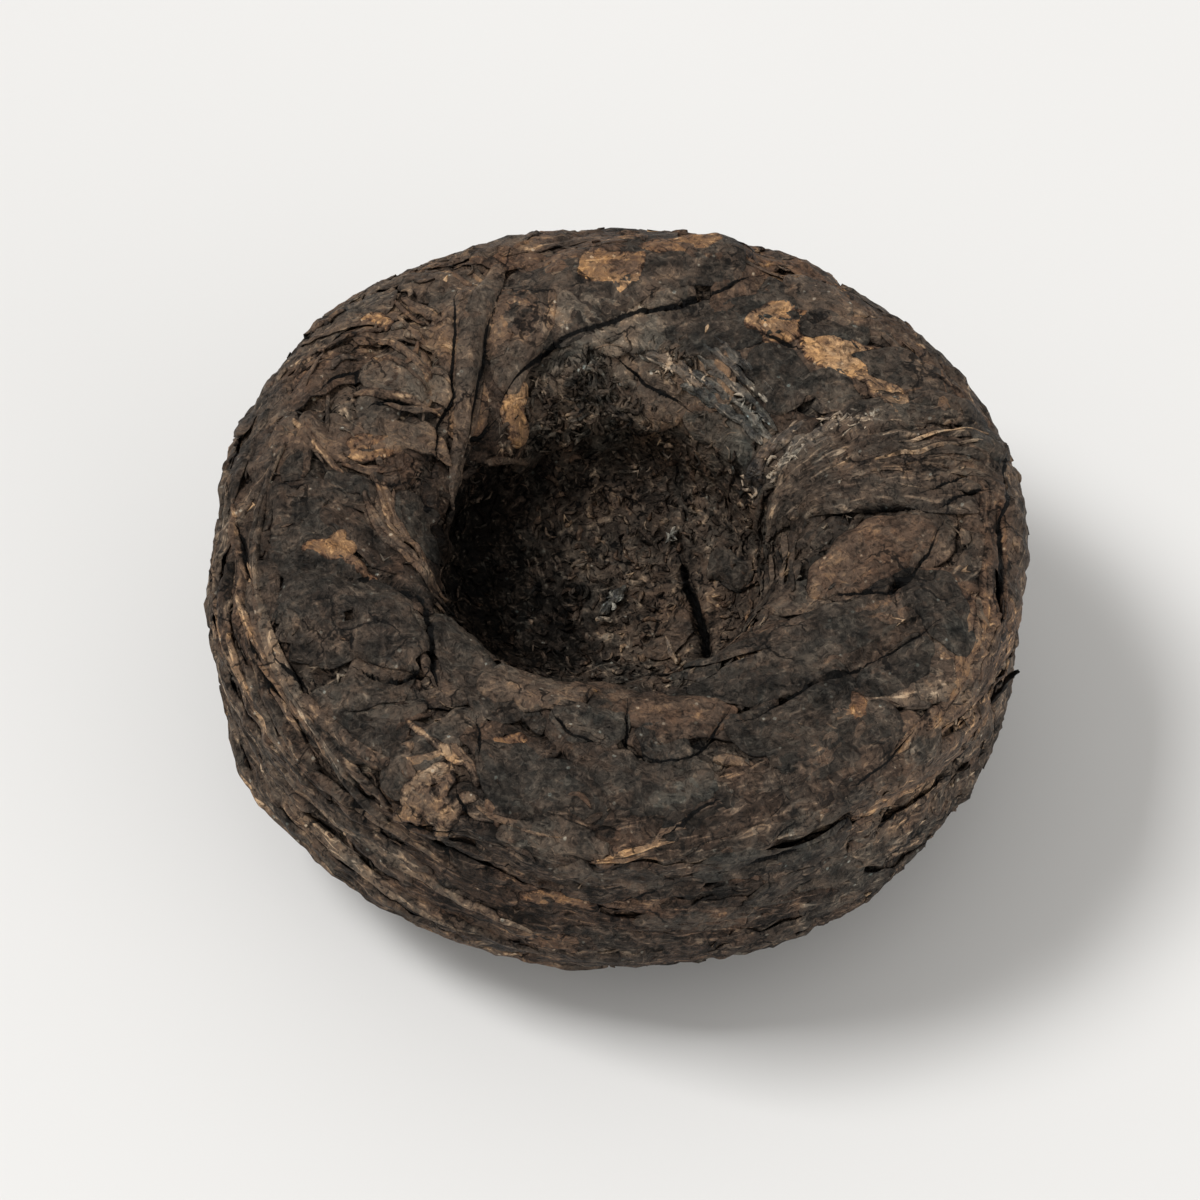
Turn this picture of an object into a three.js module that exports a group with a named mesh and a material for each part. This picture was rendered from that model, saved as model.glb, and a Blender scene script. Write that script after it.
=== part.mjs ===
// A small nest of pressed tea leaves: a thick ring round a deep hollow, rounded underneath.
// Sizes in millimetres, +Z up. The origin is on the ground, at the middle of the flat spot the
// nest rests on. The flap of leaf that curls down into the hollow is on the +X side.
import * as THREE from "three";

// The bare form, before any leaf stands out of it.
const WIDE_RADIUS = 13.25;
const HEIGHT = 11.7;
const REST_RADIUS = 3.5;
const BELLY_HEIGHT = 5.2;
const SHOULDER_REACH = 2.4;
const SHOULDER_DROP = 1.9;
const MOUTH_RADIUS = 9.2;
const MOUTH_DROP = 3.4;
const HOLLOW_RADIUS = 5.45;
const HOLLOW_FLOOR = 5.7;

// What a hand press leaves uneven.
const HOLLOW_SHIFT_X = -0.4;
const HOLLOW_SHIFT_Y = -0.4;
const RING_LEAN = 0.3;
const SHOULDER_FULLNESS = 0.3;
const FULL_SHOULDER_ANGLE = -60;
const OUT_OF_ROUND = [
  { waves: 2, size: 0.15, angle: -29 },
  { waves: 3, size: 0.05, angle: 20 },
  { waves: 4, size: 0.07, angle: 31 },
  { waves: 5, size: 0.05, angle: -3 },
  { waves: 6, size: 0.05, angle: 20 },
];

// Where along the skin each of these shows. A place is millimetres along the skin from the outer
// edge of the ring's top, less than nothing down the side, more than nothing in to the hollow.
const SHOULDER_PLACES = { from: -4.5, most: -1.5, to: 1 };
const SHIFT_PLACES = { from: -0.8, to: 3.7 };
const ROUND_PLACES = { from: 0, to: 4 };
const PLAIN_FLOOR = { within: 1, beyond: 5.5 };
const PLAIN_REST = 5;
const UNDERSIDE_SHARE = 0.6;

// The mesh: steps round the nest, and rows along each piece of its section.
const STEPS_ROUND = 126;
const ROWS = { rest: 1, belly: 10, side: 8, shoulder: 6, top: 3, mouth: 11, bowl: 6 };

// Strewn leaves: how many, and their sizes from the least to the most.
const STREWN_LEAVES = 130;
const STREWN_LENGTH = [3.2, 6.4];
const STREWN_WIDTH = [1.3, 2.8];
const STREWN_HEIGHT = [0.1, 0.35];
const STREWN_TURN = { side: 30, top: 90 };

// The border of a leaf, as a share of its outline: full height within, none beyond.
const LEAF_FULL = 0.4;
const LEAF_END = 1.6;
const CRACK_HALF_WIDTH = 1.1;

const radians = THREE.MathUtils.degToRad;
const smooth = (value, from, to) => THREE.MathUtils.smoothstep(value, from, to);
const between = ([least, most], share) => least + (most - least) * share;

// Half of the nest's section: flat spot, belly, side, shoulder, top of the ring, mouth, bowl.
const line = (x1, y1, x2, y2) =>
  new THREE.LineCurve(new THREE.Vector2(x1, y1), new THREE.Vector2(x2, y2));
const quarter = (x, y, reach, rise, from, to) =>
  new THREE.EllipseCurve(x, y, reach, rise, radians(from), radians(to), to < from);
const crest = WIDE_RADIUS - SHOULDER_REACH;
const shoulder = HEIGHT - SHOULDER_DROP;
const wall = HEIGHT - MOUTH_DROP;
const section = {
  rest: line(0, 0, REST_RADIUS, 0),
  belly: quarter(REST_RADIUS, BELLY_HEIGHT, WIDE_RADIUS - REST_RADIUS, BELLY_HEIGHT, -90, 0),
  side: line(WIDE_RADIUS, BELLY_HEIGHT, WIDE_RADIUS, shoulder),
  shoulder: quarter(crest, shoulder, SHOULDER_REACH, SHOULDER_DROP, 0, 90),
  top: line(crest, HEIGHT, MOUTH_RADIUS, HEIGHT),
  mouth: quarter(MOUTH_RADIUS, wall, MOUTH_RADIUS - HOLLOW_RADIUS, MOUTH_DROP, 90, 180),
  bowl: quarter(0, wall, HOLLOW_RADIUS, wall - HOLLOW_FLOOR, 0, -90),
};

// The section's rows, each with its place.
const rows = [{ radius: 0, height: 0, place: 0 }];
let topEdge = 0;
for (const [piece, curve] of Object.entries(section)) {
  const start = rows.at(-1).place;
  if (piece === "top") topEdge = start;
  for (let row = 1; row <= ROWS[piece]; row += 1) {
    const share = row / ROWS[piece];
    const { x: radius, y: height } = curve.getPointAt(share);
    rows.push({ radius, height, place: start + share * curve.getLength() });
  }
}
for (const row of rows) row.place -= topEdge;
const lastRow = rows.length - 1;
const floorPlace = rows[lastRow].place;

// The nest's radius at a place, between the rows on both sides of it.
function radiusAt(place) {
  const after = Math.max(1, rows.findIndex((row) => row.place >= place));
  const [low, high] = [rows[after - 1], rows[after]];
  const share = (place - low.place) / (high.place - low.place);
  return THREE.MathUtils.lerp(low.radius, high.radius, share);
}

// The leaf that shows. Angle and place give the middle of a leaf; turn is its lie, 0 along the
// ring and 90 in to the hollow; height is how far it stands out.
const shownLeaves = [];
const strewnLeaves = [];
function press(angle, place, length, width, turn, height, onto = shownLeaves) {
  onto.push({ angle: radians(angle), place, length, width, turn: radians(turn), height });
}

// The back of the ring: one broad leaf, and a second one below it that lines the hollow.
press(86, 1.0, 8.6, 3.4, 22, 0.5);
press(70, 4.4, 8.2, 3.6, 4, 0.25);
press(112, 3.0, 4.2, 1.6, 60, 0.3);
press(119, 5.1, 2.2, 0.9, 75, 0.4);

// Narrow strips that run over the back left of the rim.
for (let strip = 0; strip < 2; strip += 1) {
  press(131 + 14 * strip, 3.2 - 0.4 * strip, 7.2 - strip, 1.3, 42, 0.5 - 0.1 * strip);
}

// The left of the ring.
press(158, 5.0, 4.4, 1.2, 35, 0.4);
press(153, 2.8, 4.2, 2.4, 122, 0.4);
press(194, 1.5, 2.6, 1.0, 51, 0.35);
press(211, 1.2, 5.4, 3.2, 47, 0.5);
press(217, 4.1, 8.2, 1.2, 0, 0.4);

// The front of the ring.
press(253, 3.2, 4.0, 1.6, 10, 0.35);
press(267, 1.9, 3.4, 2.3, 30, 0.4);
press(284, 1.6, 4.4, 2.6, -20, 0.35);
press(244, -2.0, 4.0, 3.0, 30, 0.45);

// Long strips at the front right, side by side.
for (let strip = 0; strip < 3; strip += 1) {
  press(321 + 2 * strip, 2.7 - 1.3 * strip, 7.4, 1.3, -23, 0.45 - 0.1 * strip);
}

// The flap: ridges side by side that run from the right edge over the ring and down the wall.
for (let ridge = 0; ridge < 3; ridge += 1) {
  press(4 + 9 * ridge, 1.8 + 0.2 * ridge, 8.2 - 0.3 * ridge, 1.4, 78, 0.5);
}
press(346, 1.8, 4.4, 2.4, -50, 0.4);
press(342, -1.2, 4.6, 2.2, 15, 0.35);

// Ridges of leaf edge, stacked down the left side.
for (let ridge = 0; ridge < 7; ridge += 1) {
  press(196 + 4 * ridge, -2.6 - 1.2 * ridge, 8.5, 0.9, -10, 0.25);
}

// The rest are strewn evenly over the skin by fixed steps of two unlike shares.
const shares = [0];
for (let row = 1; row <= lastRow; row += 1) {
  const band = (rows[row].radius + rows[row - 1].radius) * (rows[row].place - rows[row - 1].place);
  shares.push(shares[row - 1] + band);
}
function placeOfShare(share) {
  const wanted = share * shares[lastRow];
  return rows[shares.findIndex((sum) => sum >= wanted)].place;
}
for (let leaf = 1; leaf <= STREWN_LEAVES; leaf += 1) {
  const place = placeOfShare((leaf * 0.7549) % 1);
  const turn = place < SHOULDER_PLACES.most ? STREWN_TURN.side : STREWN_TURN.top;
  press(
    360 * ((leaf * 0.5698) % 1),
    place,
    between(STREWN_LENGTH, (leaf * 0.618) % 1),
    between(STREWN_WIDTH, (leaf * 0.4142) % 1),
    turn * (2 * ((leaf * 0.7321) % 1) - 1),
    between(STREWN_HEIGHT, (leaf * 0.2361) % 1),
    strewnLeaves,
  );
}

// Cracks between leaves, each from one angle and place to the next.
const cracks = [
  { line: [[108, 3.4], [84, 2.6], [62, -0.4]], depth: 0.7 },
  { line: [[293, 1.1], [314, 0.0], [333, -1.3]], depth: 0.6 },
  { line: [[219, 1.0], [231, 2.4]], depth: 0.6 },
  { line: [[288, -5.2], [300, -6.2], [315, -5.8]], depth: 0.5 },
];

// How far round from one angle to another, the short way.
function turnFrom(start, angle) {
  return THREE.MathUtils.euclideanModulo(angle - start + Math.PI, 2 * Math.PI) - Math.PI;
}

// The height of one leaf at a point of the skin: full in its middle, nothing past its outline.
function leafRise(leaf, angle, place) {
  const round = turnFrom(leaf.angle, angle) * radiusAt(place);
  const inward = place - leaf.place;
  const along = round * Math.cos(leaf.turn) + inward * Math.sin(leaf.turn);
  const across = inward * Math.cos(leaf.turn) - round * Math.sin(leaf.turn);
  const reach = (2 * along / leaf.length) ** 4 + (2 * across / leaf.width) ** 2;
  return leaf.height * (1 - smooth(reach, LEAF_FULL, LEAF_END));
}

// The depth of one crack at a point of the skin.
function crackDepth(crack, angle, place) {
  let nearest = Infinity;
  for (let end = 1; end < crack.line.length; end += 1) {
    const [fromAngle, fromPlace] = crack.line[end - 1];
    const [toAngle, toPlace] = crack.line[end];
    const radius = radiusAt(place);
    const start = new THREE.Vector2(turnFrom(angle, radians(fromAngle)) * radius, fromPlace);
    const run = new THREE.Vector2(radians(toAngle - fromAngle) * radius, toPlace - fromPlace);
    const here = new THREE.Vector2(0, place).sub(start);
    const share = THREE.MathUtils.clamp(here.dot(run) / run.lengthSq(), 0, 1);
    nearest = Math.min(nearest, here.addScaledVector(run, -share).length());
  }
  return crack.depth * (1 - smooth(nearest, 0, CRACK_HALF_WIDTH));
}

// All the leaves together: the highest of each kind shows, and the cracks cut in.
function rise(angle, place) {
  const highest = (leaves) => Math.max(0, ...leaves.map((leaf) => leafRise(leaf, angle, place)));
  const deepest = Math.max(...cracks.map((crack) => crackDepth(crack, angle, place)));
  return highest(strewnLeaves) + highest(shownLeaves) - deepest;
}

// A point of the finished skin.
function skinPoint(angle, row) {
  const { radius, height, place } = rows[row];
  const before = rows[Math.max(row - 1, 0)];
  const after = rows[Math.min(row + 1, lastRow)];
  const outward = new THREE.Vector2(
    after.height - before.height,
    before.radius - after.radius,
  ).normalize();

  const fromRest = smooth(place - rows[0].place, REST_RADIUS, REST_RADIUS + PLAIN_REST);
  const toFloor = smooth(floorPlace - place, PLAIN_FLOOR.within, PLAIN_FLOOR.beyond);
  const full = SHOULDER_FULLNESS * Math.cos(angle - radians(FULL_SHOULDER_ANGLE));
  const { from, most, to } = SHOULDER_PLACES;
  const onShoulder = smooth(place, from, most) * (1 - smooth(place, most, to));
  const stand = fromRest * toFloor * rise(angle, place) + full * onShoulder;
  const underneath = place < 0 && height < BELLY_HEIGHT;
  const outstand = underneath ? Math.min(stand, UNDERSIDE_SHARE * height) : stand;

  let wide = radius + outward.x * outstand;
  const uneven = fromRest * (1 - smooth(place, ROUND_PLACES.from, ROUND_PLACES.to));
  for (const { waves, size, angle: crestAngle } of OUT_OF_ROUND) {
    wide += uneven * size * Math.cos(waves * (angle - radians(crestAngle)));
  }
  const shift = smooth(place, SHIFT_PLACES.from, SHIFT_PLACES.to);
  const lean = RING_LEAN * Math.sin(angle) * smooth(height, BELLY_HEIGHT, HEIGHT);
  return new THREE.Vector3(
    wide * Math.cos(angle) + shift * HOLLOW_SHIFT_X,
    wide * Math.sin(angle) + shift * HOLLOW_SHIFT_Y,
    height + outward.y * outstand + lean * Math.min(1, radius / MOUTH_RADIUS),
  );
}

// The section turned into a closed body, then each corner moved to its place on the skin.
function nestBody() {
  const outline = rows.map(({ radius, height }) => new THREE.Vector2(radius, height));
  const body = new THREE.LatheGeometry(outline, STEPS_ROUND);
  const corners = body.getAttribute("position");
  for (let turn = 0; turn <= STEPS_ROUND; turn += 1) {
    const angle = (2 * Math.PI * (turn % STEPS_ROUND)) / STEPS_ROUND;
    for (let row = 0; row <= lastRow; row += 1) {
      const { x, y, z } = skinPoint(angle, row);
      corners.setXYZ(turn * rows.length + row, x, y, z);
    }
  }
  body.computeVertexNormals();
  return body;
}

const darkLeaf = new THREE.MeshStandardMaterial({ color: 0x3f382f, roughness: 0.8, metalness: 0 });
const nest = new THREE.Mesh(nestBody(), darkLeaf);
nest.name = "pressed_tea";

const group = new THREE.Group();
group.name = "tea_nest";
group.add(nest);

export default group;
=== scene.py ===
# %% [markdown]
# # A nest of pressed tea
# A spoonful of damp, dark tea leaves is pressed in a cloth into a small nest: a thick ring round a
# deep hollow. Once dry, hundreds of leaves and shreds lie on each other like roof slates. The packed
# solid gives the true size and form. This lesson rebuilds that form as a fine core, then lays real
# leaves, strips and shreds on it, so that edges, gaps and overlaps are shapes and not only paint.

import bpy
import numpy as np
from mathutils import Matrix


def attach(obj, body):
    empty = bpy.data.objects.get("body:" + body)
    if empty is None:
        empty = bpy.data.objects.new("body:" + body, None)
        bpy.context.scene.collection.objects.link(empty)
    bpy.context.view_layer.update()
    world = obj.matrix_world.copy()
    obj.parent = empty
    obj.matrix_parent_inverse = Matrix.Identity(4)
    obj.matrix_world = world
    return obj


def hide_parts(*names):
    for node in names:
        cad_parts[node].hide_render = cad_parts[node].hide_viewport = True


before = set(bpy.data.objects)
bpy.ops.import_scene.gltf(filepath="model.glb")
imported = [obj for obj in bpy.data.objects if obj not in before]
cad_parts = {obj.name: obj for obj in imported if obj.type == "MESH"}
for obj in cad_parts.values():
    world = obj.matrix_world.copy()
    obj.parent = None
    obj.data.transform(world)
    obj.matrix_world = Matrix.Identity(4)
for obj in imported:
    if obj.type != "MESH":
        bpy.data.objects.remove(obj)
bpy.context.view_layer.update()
MM = 0.001
NODE = "pressed_tea"
print("nodes:", sorted(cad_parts))

# %% [markdown]
# ## The bare section
# Cut through the middle, half of the nest is one line: a flat spot, a round belly, a straight side,
# a shoulder, the top of the ring, the roll of the mouth and the bowl of the hollow. It could be drawn
# as a curve by hand, but quarter ellipses between named sizes keep it exact. A point on the skin is
# then named by its angle round the nest and by its place: millimetres along this line from the outer
# edge of the ring's top, negative down the side and positive in to the hollow.

# %% Section sizes and line, in millimetres
WIDE_RADIUS = 13.25
HEIGHT = 11.7
REST_RADIUS = 3.5
BELLY_HEIGHT = 5.2
SHOULDER_REACH = 2.4
SHOULDER_DROP = 1.9
MOUTH_RADIUS = 9.2
MOUTH_DROP = 3.4
HOLLOW_RADIUS = 5.45
HOLLOW_FLOOR = 5.7
QUARTER_POINTS = 240


def quarter(middle, reach, start, stop):
    """A quarter ellipse: its middle plus reach times the cosine and sine of a turning angle."""
    turn = np.radians(np.linspace(start, stop, QUARTER_POINTS))
    return np.array(middle) + np.array(reach) * np.column_stack([np.cos(turn), np.sin(turn)])


crest_radius = WIDE_RADIUS - SHOULDER_REACH
shoulder_height = HEIGHT - SHOULDER_DROP
wall_height = HEIGHT - MOUTH_DROP
SECTION = {
    "rest": np.array([[0.0, 0.0], [REST_RADIUS, 0.0]]),
    "belly": quarter((REST_RADIUS, BELLY_HEIGHT), (WIDE_RADIUS - REST_RADIUS, BELLY_HEIGHT), -90, 0),
    "side": np.array([[WIDE_RADIUS, BELLY_HEIGHT], [WIDE_RADIUS, shoulder_height]]),
    "shoulder": quarter((crest_radius, shoulder_height), (SHOULDER_REACH, SHOULDER_DROP), 0, 90),
    "top": np.array([[crest_radius, HEIGHT], [MOUTH_RADIUS, HEIGHT]]),
    "mouth": quarter((MOUTH_RADIUS, wall_height), (MOUTH_RADIUS - HOLLOW_RADIUS, MOUTH_DROP), 90, 180),
    "bowl": quarter((0, wall_height), (HOLLOW_RADIUS, wall_height - HOLLOW_FLOOR), 0, -90),
}


def walk_along(line):
    """The distance walked from a line's start to each of its points."""
    steps = np.hypot(*np.diff(line, axis=0).T)
    return np.concatenate([[0.0], np.cumsum(steps)])


lengths = {piece: walk_along(line)[-1] for piece, line in SECTION.items()}
TOP_EDGE = sum(lengths[piece] for piece in ("rest", "belly", "side", "shoulder"))
whole_line = np.vstack(list(SECTION.values()))
PLACES, first = np.unique(np.round(walk_along(whole_line) - TOP_EDGE, 9), return_index=True)
RADII, HEIGHTS = whole_line[first].T
slope_radius = np.gradient(RADII, PLACES)
slope_height = np.gradient(HEIGHTS, PLACES)
OUT_RADIUS, OUT_HEIGHT = np.array([slope_height, -slope_radius]) / np.hypot(slope_radius, slope_height)
FLOOR_PLACE = PLACES[-1]
REST_PLACE = PLACES[0]
print("skin runs from place", round(REST_PLACE, 2), "to", round(FLOOR_PLACE, 2), "mm")

# %% [markdown]
# ## The skin
# Spun round its axis the section gives a plain ring. A real nest is pressed by hand, so it is a little
# out of round, leans, is fuller at one shoulder, and its hollow sits off the middle. One function turns
# any angle, place and height above the skin into a point, and every later piece is made through it,
# so all of them stay true to the same form.

# %% From angle, place and height to a point
HOLLOW_SHIFT = (-0.4, -0.4)
RING_LEAN = 0.3
SHOULDER_FULLNESS = 0.3
FULL_SHOULDER_ANGLE = -60
OUT_OF_ROUND = [(2, 0.15, -29), (3, 0.05, 20), (4, 0.07, 31), (5, 0.05, -3), (6, 0.05, 20)]
PLAIN_REST = 5.0
PLAIN_FLOOR = (1.0, 5.5)
UNDERSIDE_SHARE = 0.6
SHOULDER_RISE = (-4.5, -1.5)
SHOULDER_FALL = (-1.5, 1.0)
ROUND_FADE = (0.0, 4.0)
SHIFT_RISE = (-0.8, 3.7)


def smooth(value, start, stop):
    """A smooth step: 0 before start, 1 after stop, and an S-shaped rise between."""
    share = np.clip((value - start) / (stop - start), 0, 1)
    return share * share * (3 - 2 * share)


def radius_at(place):
    """The bare skin's distance from the axis at a place."""
    return np.interp(place, PLACES, RADII)


def off_rest(place):
    """0 on the flat spot underneath, rising to 1 past the plain ground round it."""
    return smooth(place - REST_PLACE, REST_RADIUS, REST_RADIUS + PLAIN_REST)


def skin(angle, place, stand):
    """Points in metres: the section at a place, moved out by stand, spun to an angle, then set
    out of round, shifted towards the hollow's own middle and leaned."""
    radius = radius_at(place)
    height = np.interp(place, PLACES, HEIGHTS)
    fullness = SHOULDER_FULLNESS * np.cos(angle - np.radians(FULL_SHOULDER_ANGLE))
    on_shoulder = smooth(place, *SHOULDER_RISE) * (1 - smooth(place, *SHOULDER_FALL))
    out = stand + fullness * on_shoulder
    underneath = (place < 0) & (height < BELLY_HEIGHT)
    out = np.where(underneath, np.minimum(out, UNDERSIDE_SHARE * height), out)
    uneven = sum(size * np.cos(waves * (angle - np.radians(crest))) for waves, size, crest in OUT_OF_ROUND)
    wide = radius + np.interp(place, PLACES, OUT_RADIUS) * out
    wide = wide + uneven * off_rest(place) * (1 - smooth(place, *ROUND_FADE))
    shift = smooth(place, *SHIFT_RISE)
    lean = RING_LEAN * np.sin(angle) * smooth(height, BELLY_HEIGHT, HEIGHT)
    x = wide * np.cos(angle) + shift * HOLLOW_SHIFT[0]
    y = wide * np.sin(angle) + shift * HOLLOW_SHIFT[1]
    z = height + np.interp(place, PLACES, OUT_HEIGHT) * out + lean * np.minimum(1, radius / MOUTH_RADIUS)
    return np.stack(np.broadcast_arrays(x, y, z), axis=-1) * MM


middle_floor = skin(0.0, FLOOR_PLACE, 0.0) / MM
print("the hollow's floor is at", np.round(middle_floor, 2).tolist(), "mm")

# %% [markdown]
# ## Which leaves show
# Some leaves can be told apart on the real nest: a broad dark leaf along the back, narrow strips over
# the back left rim, a flap of ridges that curls in from the right, long strips at the front right.
# These are placed one by one. Each has an angle, a place, a length, a width, a turn (0 along the ring, 90
# in to the hollow) and the height of the low swelling that it makes in the form. The rest of the
# swellings are strewn by a rule of fixed steps, which spreads them evenly without any chance.

# %% Leaves that swell the form
FORM_LEAVES = [
    # angle, place, length, width, turn, height
    (86, 1.0, 8.6, 3.4, 22, 0.5), (70, 4.4, 8.2, 3.6, 4, 0.25), (112, 3.0, 4.2, 1.6, 60, 0.3),
    (119, 5.1, 2.2, 0.9, 75, 0.4), (158, 5.0, 4.4, 1.2, 35, 0.4), (153, 2.8, 4.2, 2.4, 122, 0.4),
    (194, 1.5, 2.6, 1.0, 51, 0.35), (211, 1.2, 5.4, 3.2, 47, 0.5), (217, 4.1, 8.2, 1.2, 0, 0.4),
    (253, 3.2, 4.0, 1.6, 10, 0.35), (267, 1.9, 3.4, 2.3, 30, 0.4), (284, 1.6, 4.4, 2.6, -20, 0.35),
    (244, -2.0, 4.0, 3.0, 30, 0.45), (346, 1.8, 4.4, 2.4, -45, 0.28), (342, -1.2, 4.6, 2.2, 15, 0.35),
]
FORM_LEAVES += [(131 + 14 * n, 3.2 - 0.4 * n, 7.2 - n, 1.3, 42, 0.5 - 0.1 * n) for n in range(2)]
FORM_LEAVES += [(321 + 2 * n, 2.7 - 1.3 * n, 7.4, 1.3, -23, 0.45 - 0.1 * n) for n in range(3)]
FORM_LEAVES += [(4 + 9 * n, 1.8 + 0.2 * n, 8.2 - 0.3 * n, 1.4, 78, 0.5) for n in range(3)]
FORM_LEAVES += [(196 + 4 * n, -2.6 - 1.2 * n, 8.5, 0.9, -10, 0.25) for n in range(7)]
FORM_ROWS = {"rest": 1, "belly": 10, "side": 8, "shoulder": 6, "top": 3, "mouth": 11, "bowl": 6}
STREWN_COUNT = 130
STREWN_STEPS = {"angle": 0.5698, "place": 0.7549, "turn": 0.7321, "length": 0.618, "width": 0.4142,
                "height": 0.2361}
STREWN_SIZES = {"length": (3.2, 3.2), "width": (1.3, 1.5), "height": (0.1, 0.25)}
TOP_START = -1.5
SIDE_TURN = 30
TOP_TURN = 90


def form_places():
    """The places of the solid's own rows: even steps along each piece of the section."""
    ends = np.concatenate([[0.0], np.cumsum(list(lengths.values()))]) - TOP_EDGE
    steps = [np.linspace(ends[n], ends[n + 1], rows + 1)[1:] for n, rows in enumerate(FORM_ROWS.values())]
    return np.concatenate([[ends[0]], *steps])


def strewn_swellings(count):
    """Swellings spread by skin area: each takes the next step of several unlike fractions, and a size
    is its least plus its spread times a fraction."""
    number = np.arange(1, count + 1)
    part = {name: (number * step) % 1 for name, step in STREWN_STEPS.items()}
    places = form_places()
    radii = radius_at(places)
    area = np.concatenate([[0.0], np.cumsum((radii[1:] + radii[:-1]) * np.diff(places))])
    place = places[np.searchsorted(area, part["place"] * area[-1])]
    turn = np.where(place < TOP_START, SIDE_TURN, TOP_TURN) * (2 * part["turn"] - 1)
    length, width, height = (least + more * part[name] for name, (least, more) in STREWN_SIZES.items())
    return np.column_stack([360 * part["angle"], place, length, width, turn, height])


STREWN = strewn_swellings(STREWN_COUNT)
print(len(FORM_LEAVES), "leaves placed by hand,", len(STREWN), "strewn")

# %% [markdown]
# ## Relief
# A swelling is full in the middle of its leaf and fades past its outline. Where swellings overlap the
# highest wins, and the listed ones stand on the strewn ones. Cracks then cut in: the ones that
# can be seen, point by point, and fine ones strewn round the side. They could be painted alone, but only a
# real groove stays dark under light from any side, so each is cut, and the finish also paints its inside
# dark as painted shade.

# %% Cracks
CRACKS = [
    # points of angle and place, half width
    ([(63, -0.1), (68, 1.3), (76, 2.2), (88, 2.9), (101, 3.4), (113, 4.0), (122, 4.5)], 0.075),
    ([(67, 1.0), (71, 1.8), (76, 2.2), (85, 2.7)], 0.11),
    ([(116, 2.0), (123, 3.4), (129, 4.0), (140, 5.0), (145, 5.4)], 0.06),
    ([(140, 5.0), (135, 5.3), (129, 5.1)], 0.09),
    ([(121, 0.8), (126, 2.3), (136, 3.7), (150, 4.4), (157, 4.7)], 0.05),
    ([(155, 0.1), (150, 0.5), (147, 1.0), (150, 1.3)], 0.06),
    ([(153, 2.2), (150, 2.4), (147, 3.0)], 0.07),
    ([(295, 1.1), (306, 1.3), (315, 1.1), (324, 0.1), (332, -0.6)], 0.06),
    ([(314, 1.1), (319, 0.5)], 0.10),
    ([(329, 3.0), (334, 2.5), (337, 1.1), (339, 0.8), (345, 0.5), (354, 0.2)], 0.06),
    ([(337, 1.2), (340, 0.8)], 0.14),
    ([(358, 0.2), (1, -0.9)], 0.06),
    ([(1, 0.6), (4, -0.6)], 0.05),
    ([(219.9, 0.1), (223.9, 0.4), (227.2, 1.0), (229.3, 1.9)], 0.13),
    ([(202, 3.2), (209.8, 3.9), (219, 3.5), (226.2, 2.7), (233.6, 1.6)], 0.10),
    ([(287, -3.9), (293, -3.6), (300, -3.7), (305, -3.2)], 0.08),
    ([(293, -6.4), (299, -5.9)], 0.08),
    ([(291, -2.8), (294, -2.5)], 0.05),
    ([(310, -7.2), (318, -6.9)], 0.07),
    ([(308, -5.4), (314, -4.9)], 0.07),
    ([(271, -5.2), (275, -4.6)], 0.06),
    ([(86, 4.1), (76, 4.8), (61, 5.1)], 0.05),
    ([(54, 1.9), (46, 1.7)], 0.06),
    ([(230, -3.5), (232, -4.4)], 0.22),
    ([(246, -1.6), (249, -2.2)], 0.05),
    ([(244, -3.2), (246, -4.6)], 0.07),
    ([(251, -4.6), (252, -4.5)], 0.12),
    ([(184, -1.7), (195, -1.3)], 0.07),
    ([(204, -2.0), (217, -2.9)], 0.07),
    ([(210, -1.5), (216, -1.6)], 0.06),
    ([(12.8, -2.0), (6.8, -1.8), (356.7, -1.6), (346.6, -1.9), (338.2, -2.5)], 0.09),
    ([(258.5, 2.2), (262.4, 1.3), (267.6, 0.9)], 0.06),
    ([(275.3, 3.0), (272.6, 1.1), (276.0, 0.3), (282.8, 0.2), (294.3, 1.7)], 0.045),
    ([(285.0, -1.3), (281.8, -1.5), (277.8, -1.9)], 0.07),
    ([(243.8, 0.9), (247.5, -0.5)], 0.05),
    ([(37.4, 10.4), (26, 10.7), (7, 10.7), (351.9, 10.5), (336.6, 10.1), (322, 9.6)], 0.17),
    ([(41, 10.3), (29, 10.65)], 0.15),
]
SIDE_CRACKS = 34
SIDE_CRACK_RANGES = {"angle": (0, 360), "place": (-11, -1.6), "run": (5, 17), "fall": (-0.7, 0.2)}
SIDE_CRACK_WIDTHS = (0.02, 0.06)
draw = np.random.default_rng(5)
drawn = [draw.uniform(*ends, SIDE_CRACKS) for ends in SIDE_CRACK_RANGES.values()]
for angle, place, run, fall in zip(*drawn):
    CRACKS.append(([(angle, place), (angle + run, place - fall)], draw.uniform(*SIDE_CRACK_WIDTHS)))
print(len(CRACKS), "cracks")

# %% Height of the form at any point
SWELLING_FADE = (0.4, 1.6)
CRACK_TAPER = 6
CRACK_TIP = 0.2
CRACK_WANDER = [(0.07, 11, 4), (0.05, 37, -7)]   # size, waves round, waves inward
WANDER_RADIUS = 11
FAR_SIDE = 9.0
FAR_GAP = 1.0


def turn_from(start, angle):
    """The short way round from one angle to another."""
    return (angle - start + np.pi) % (2 * np.pi) - np.pi


def swelling(leaf, angle, place):
    """One leaf's height: full well inside its outline and fading to nothing past it. The outline is where
    the fourth power of the share along plus the square of the share across makes 1."""
    middle, middle_place, length, width, turn, height = leaf
    way = np.radians(turn)
    round_way = turn_from(np.radians(middle), angle) * radius_at(place)
    inward = place - middle_place
    along = round_way * np.cos(way) + inward * np.sin(way)
    across = inward * np.cos(way) - round_way * np.sin(way)
    reach = (2 * along / length) ** 4 + (2 * across / width) ** 2
    return height * (1 - smooth(reach, *SWELLING_FADE))


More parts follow.
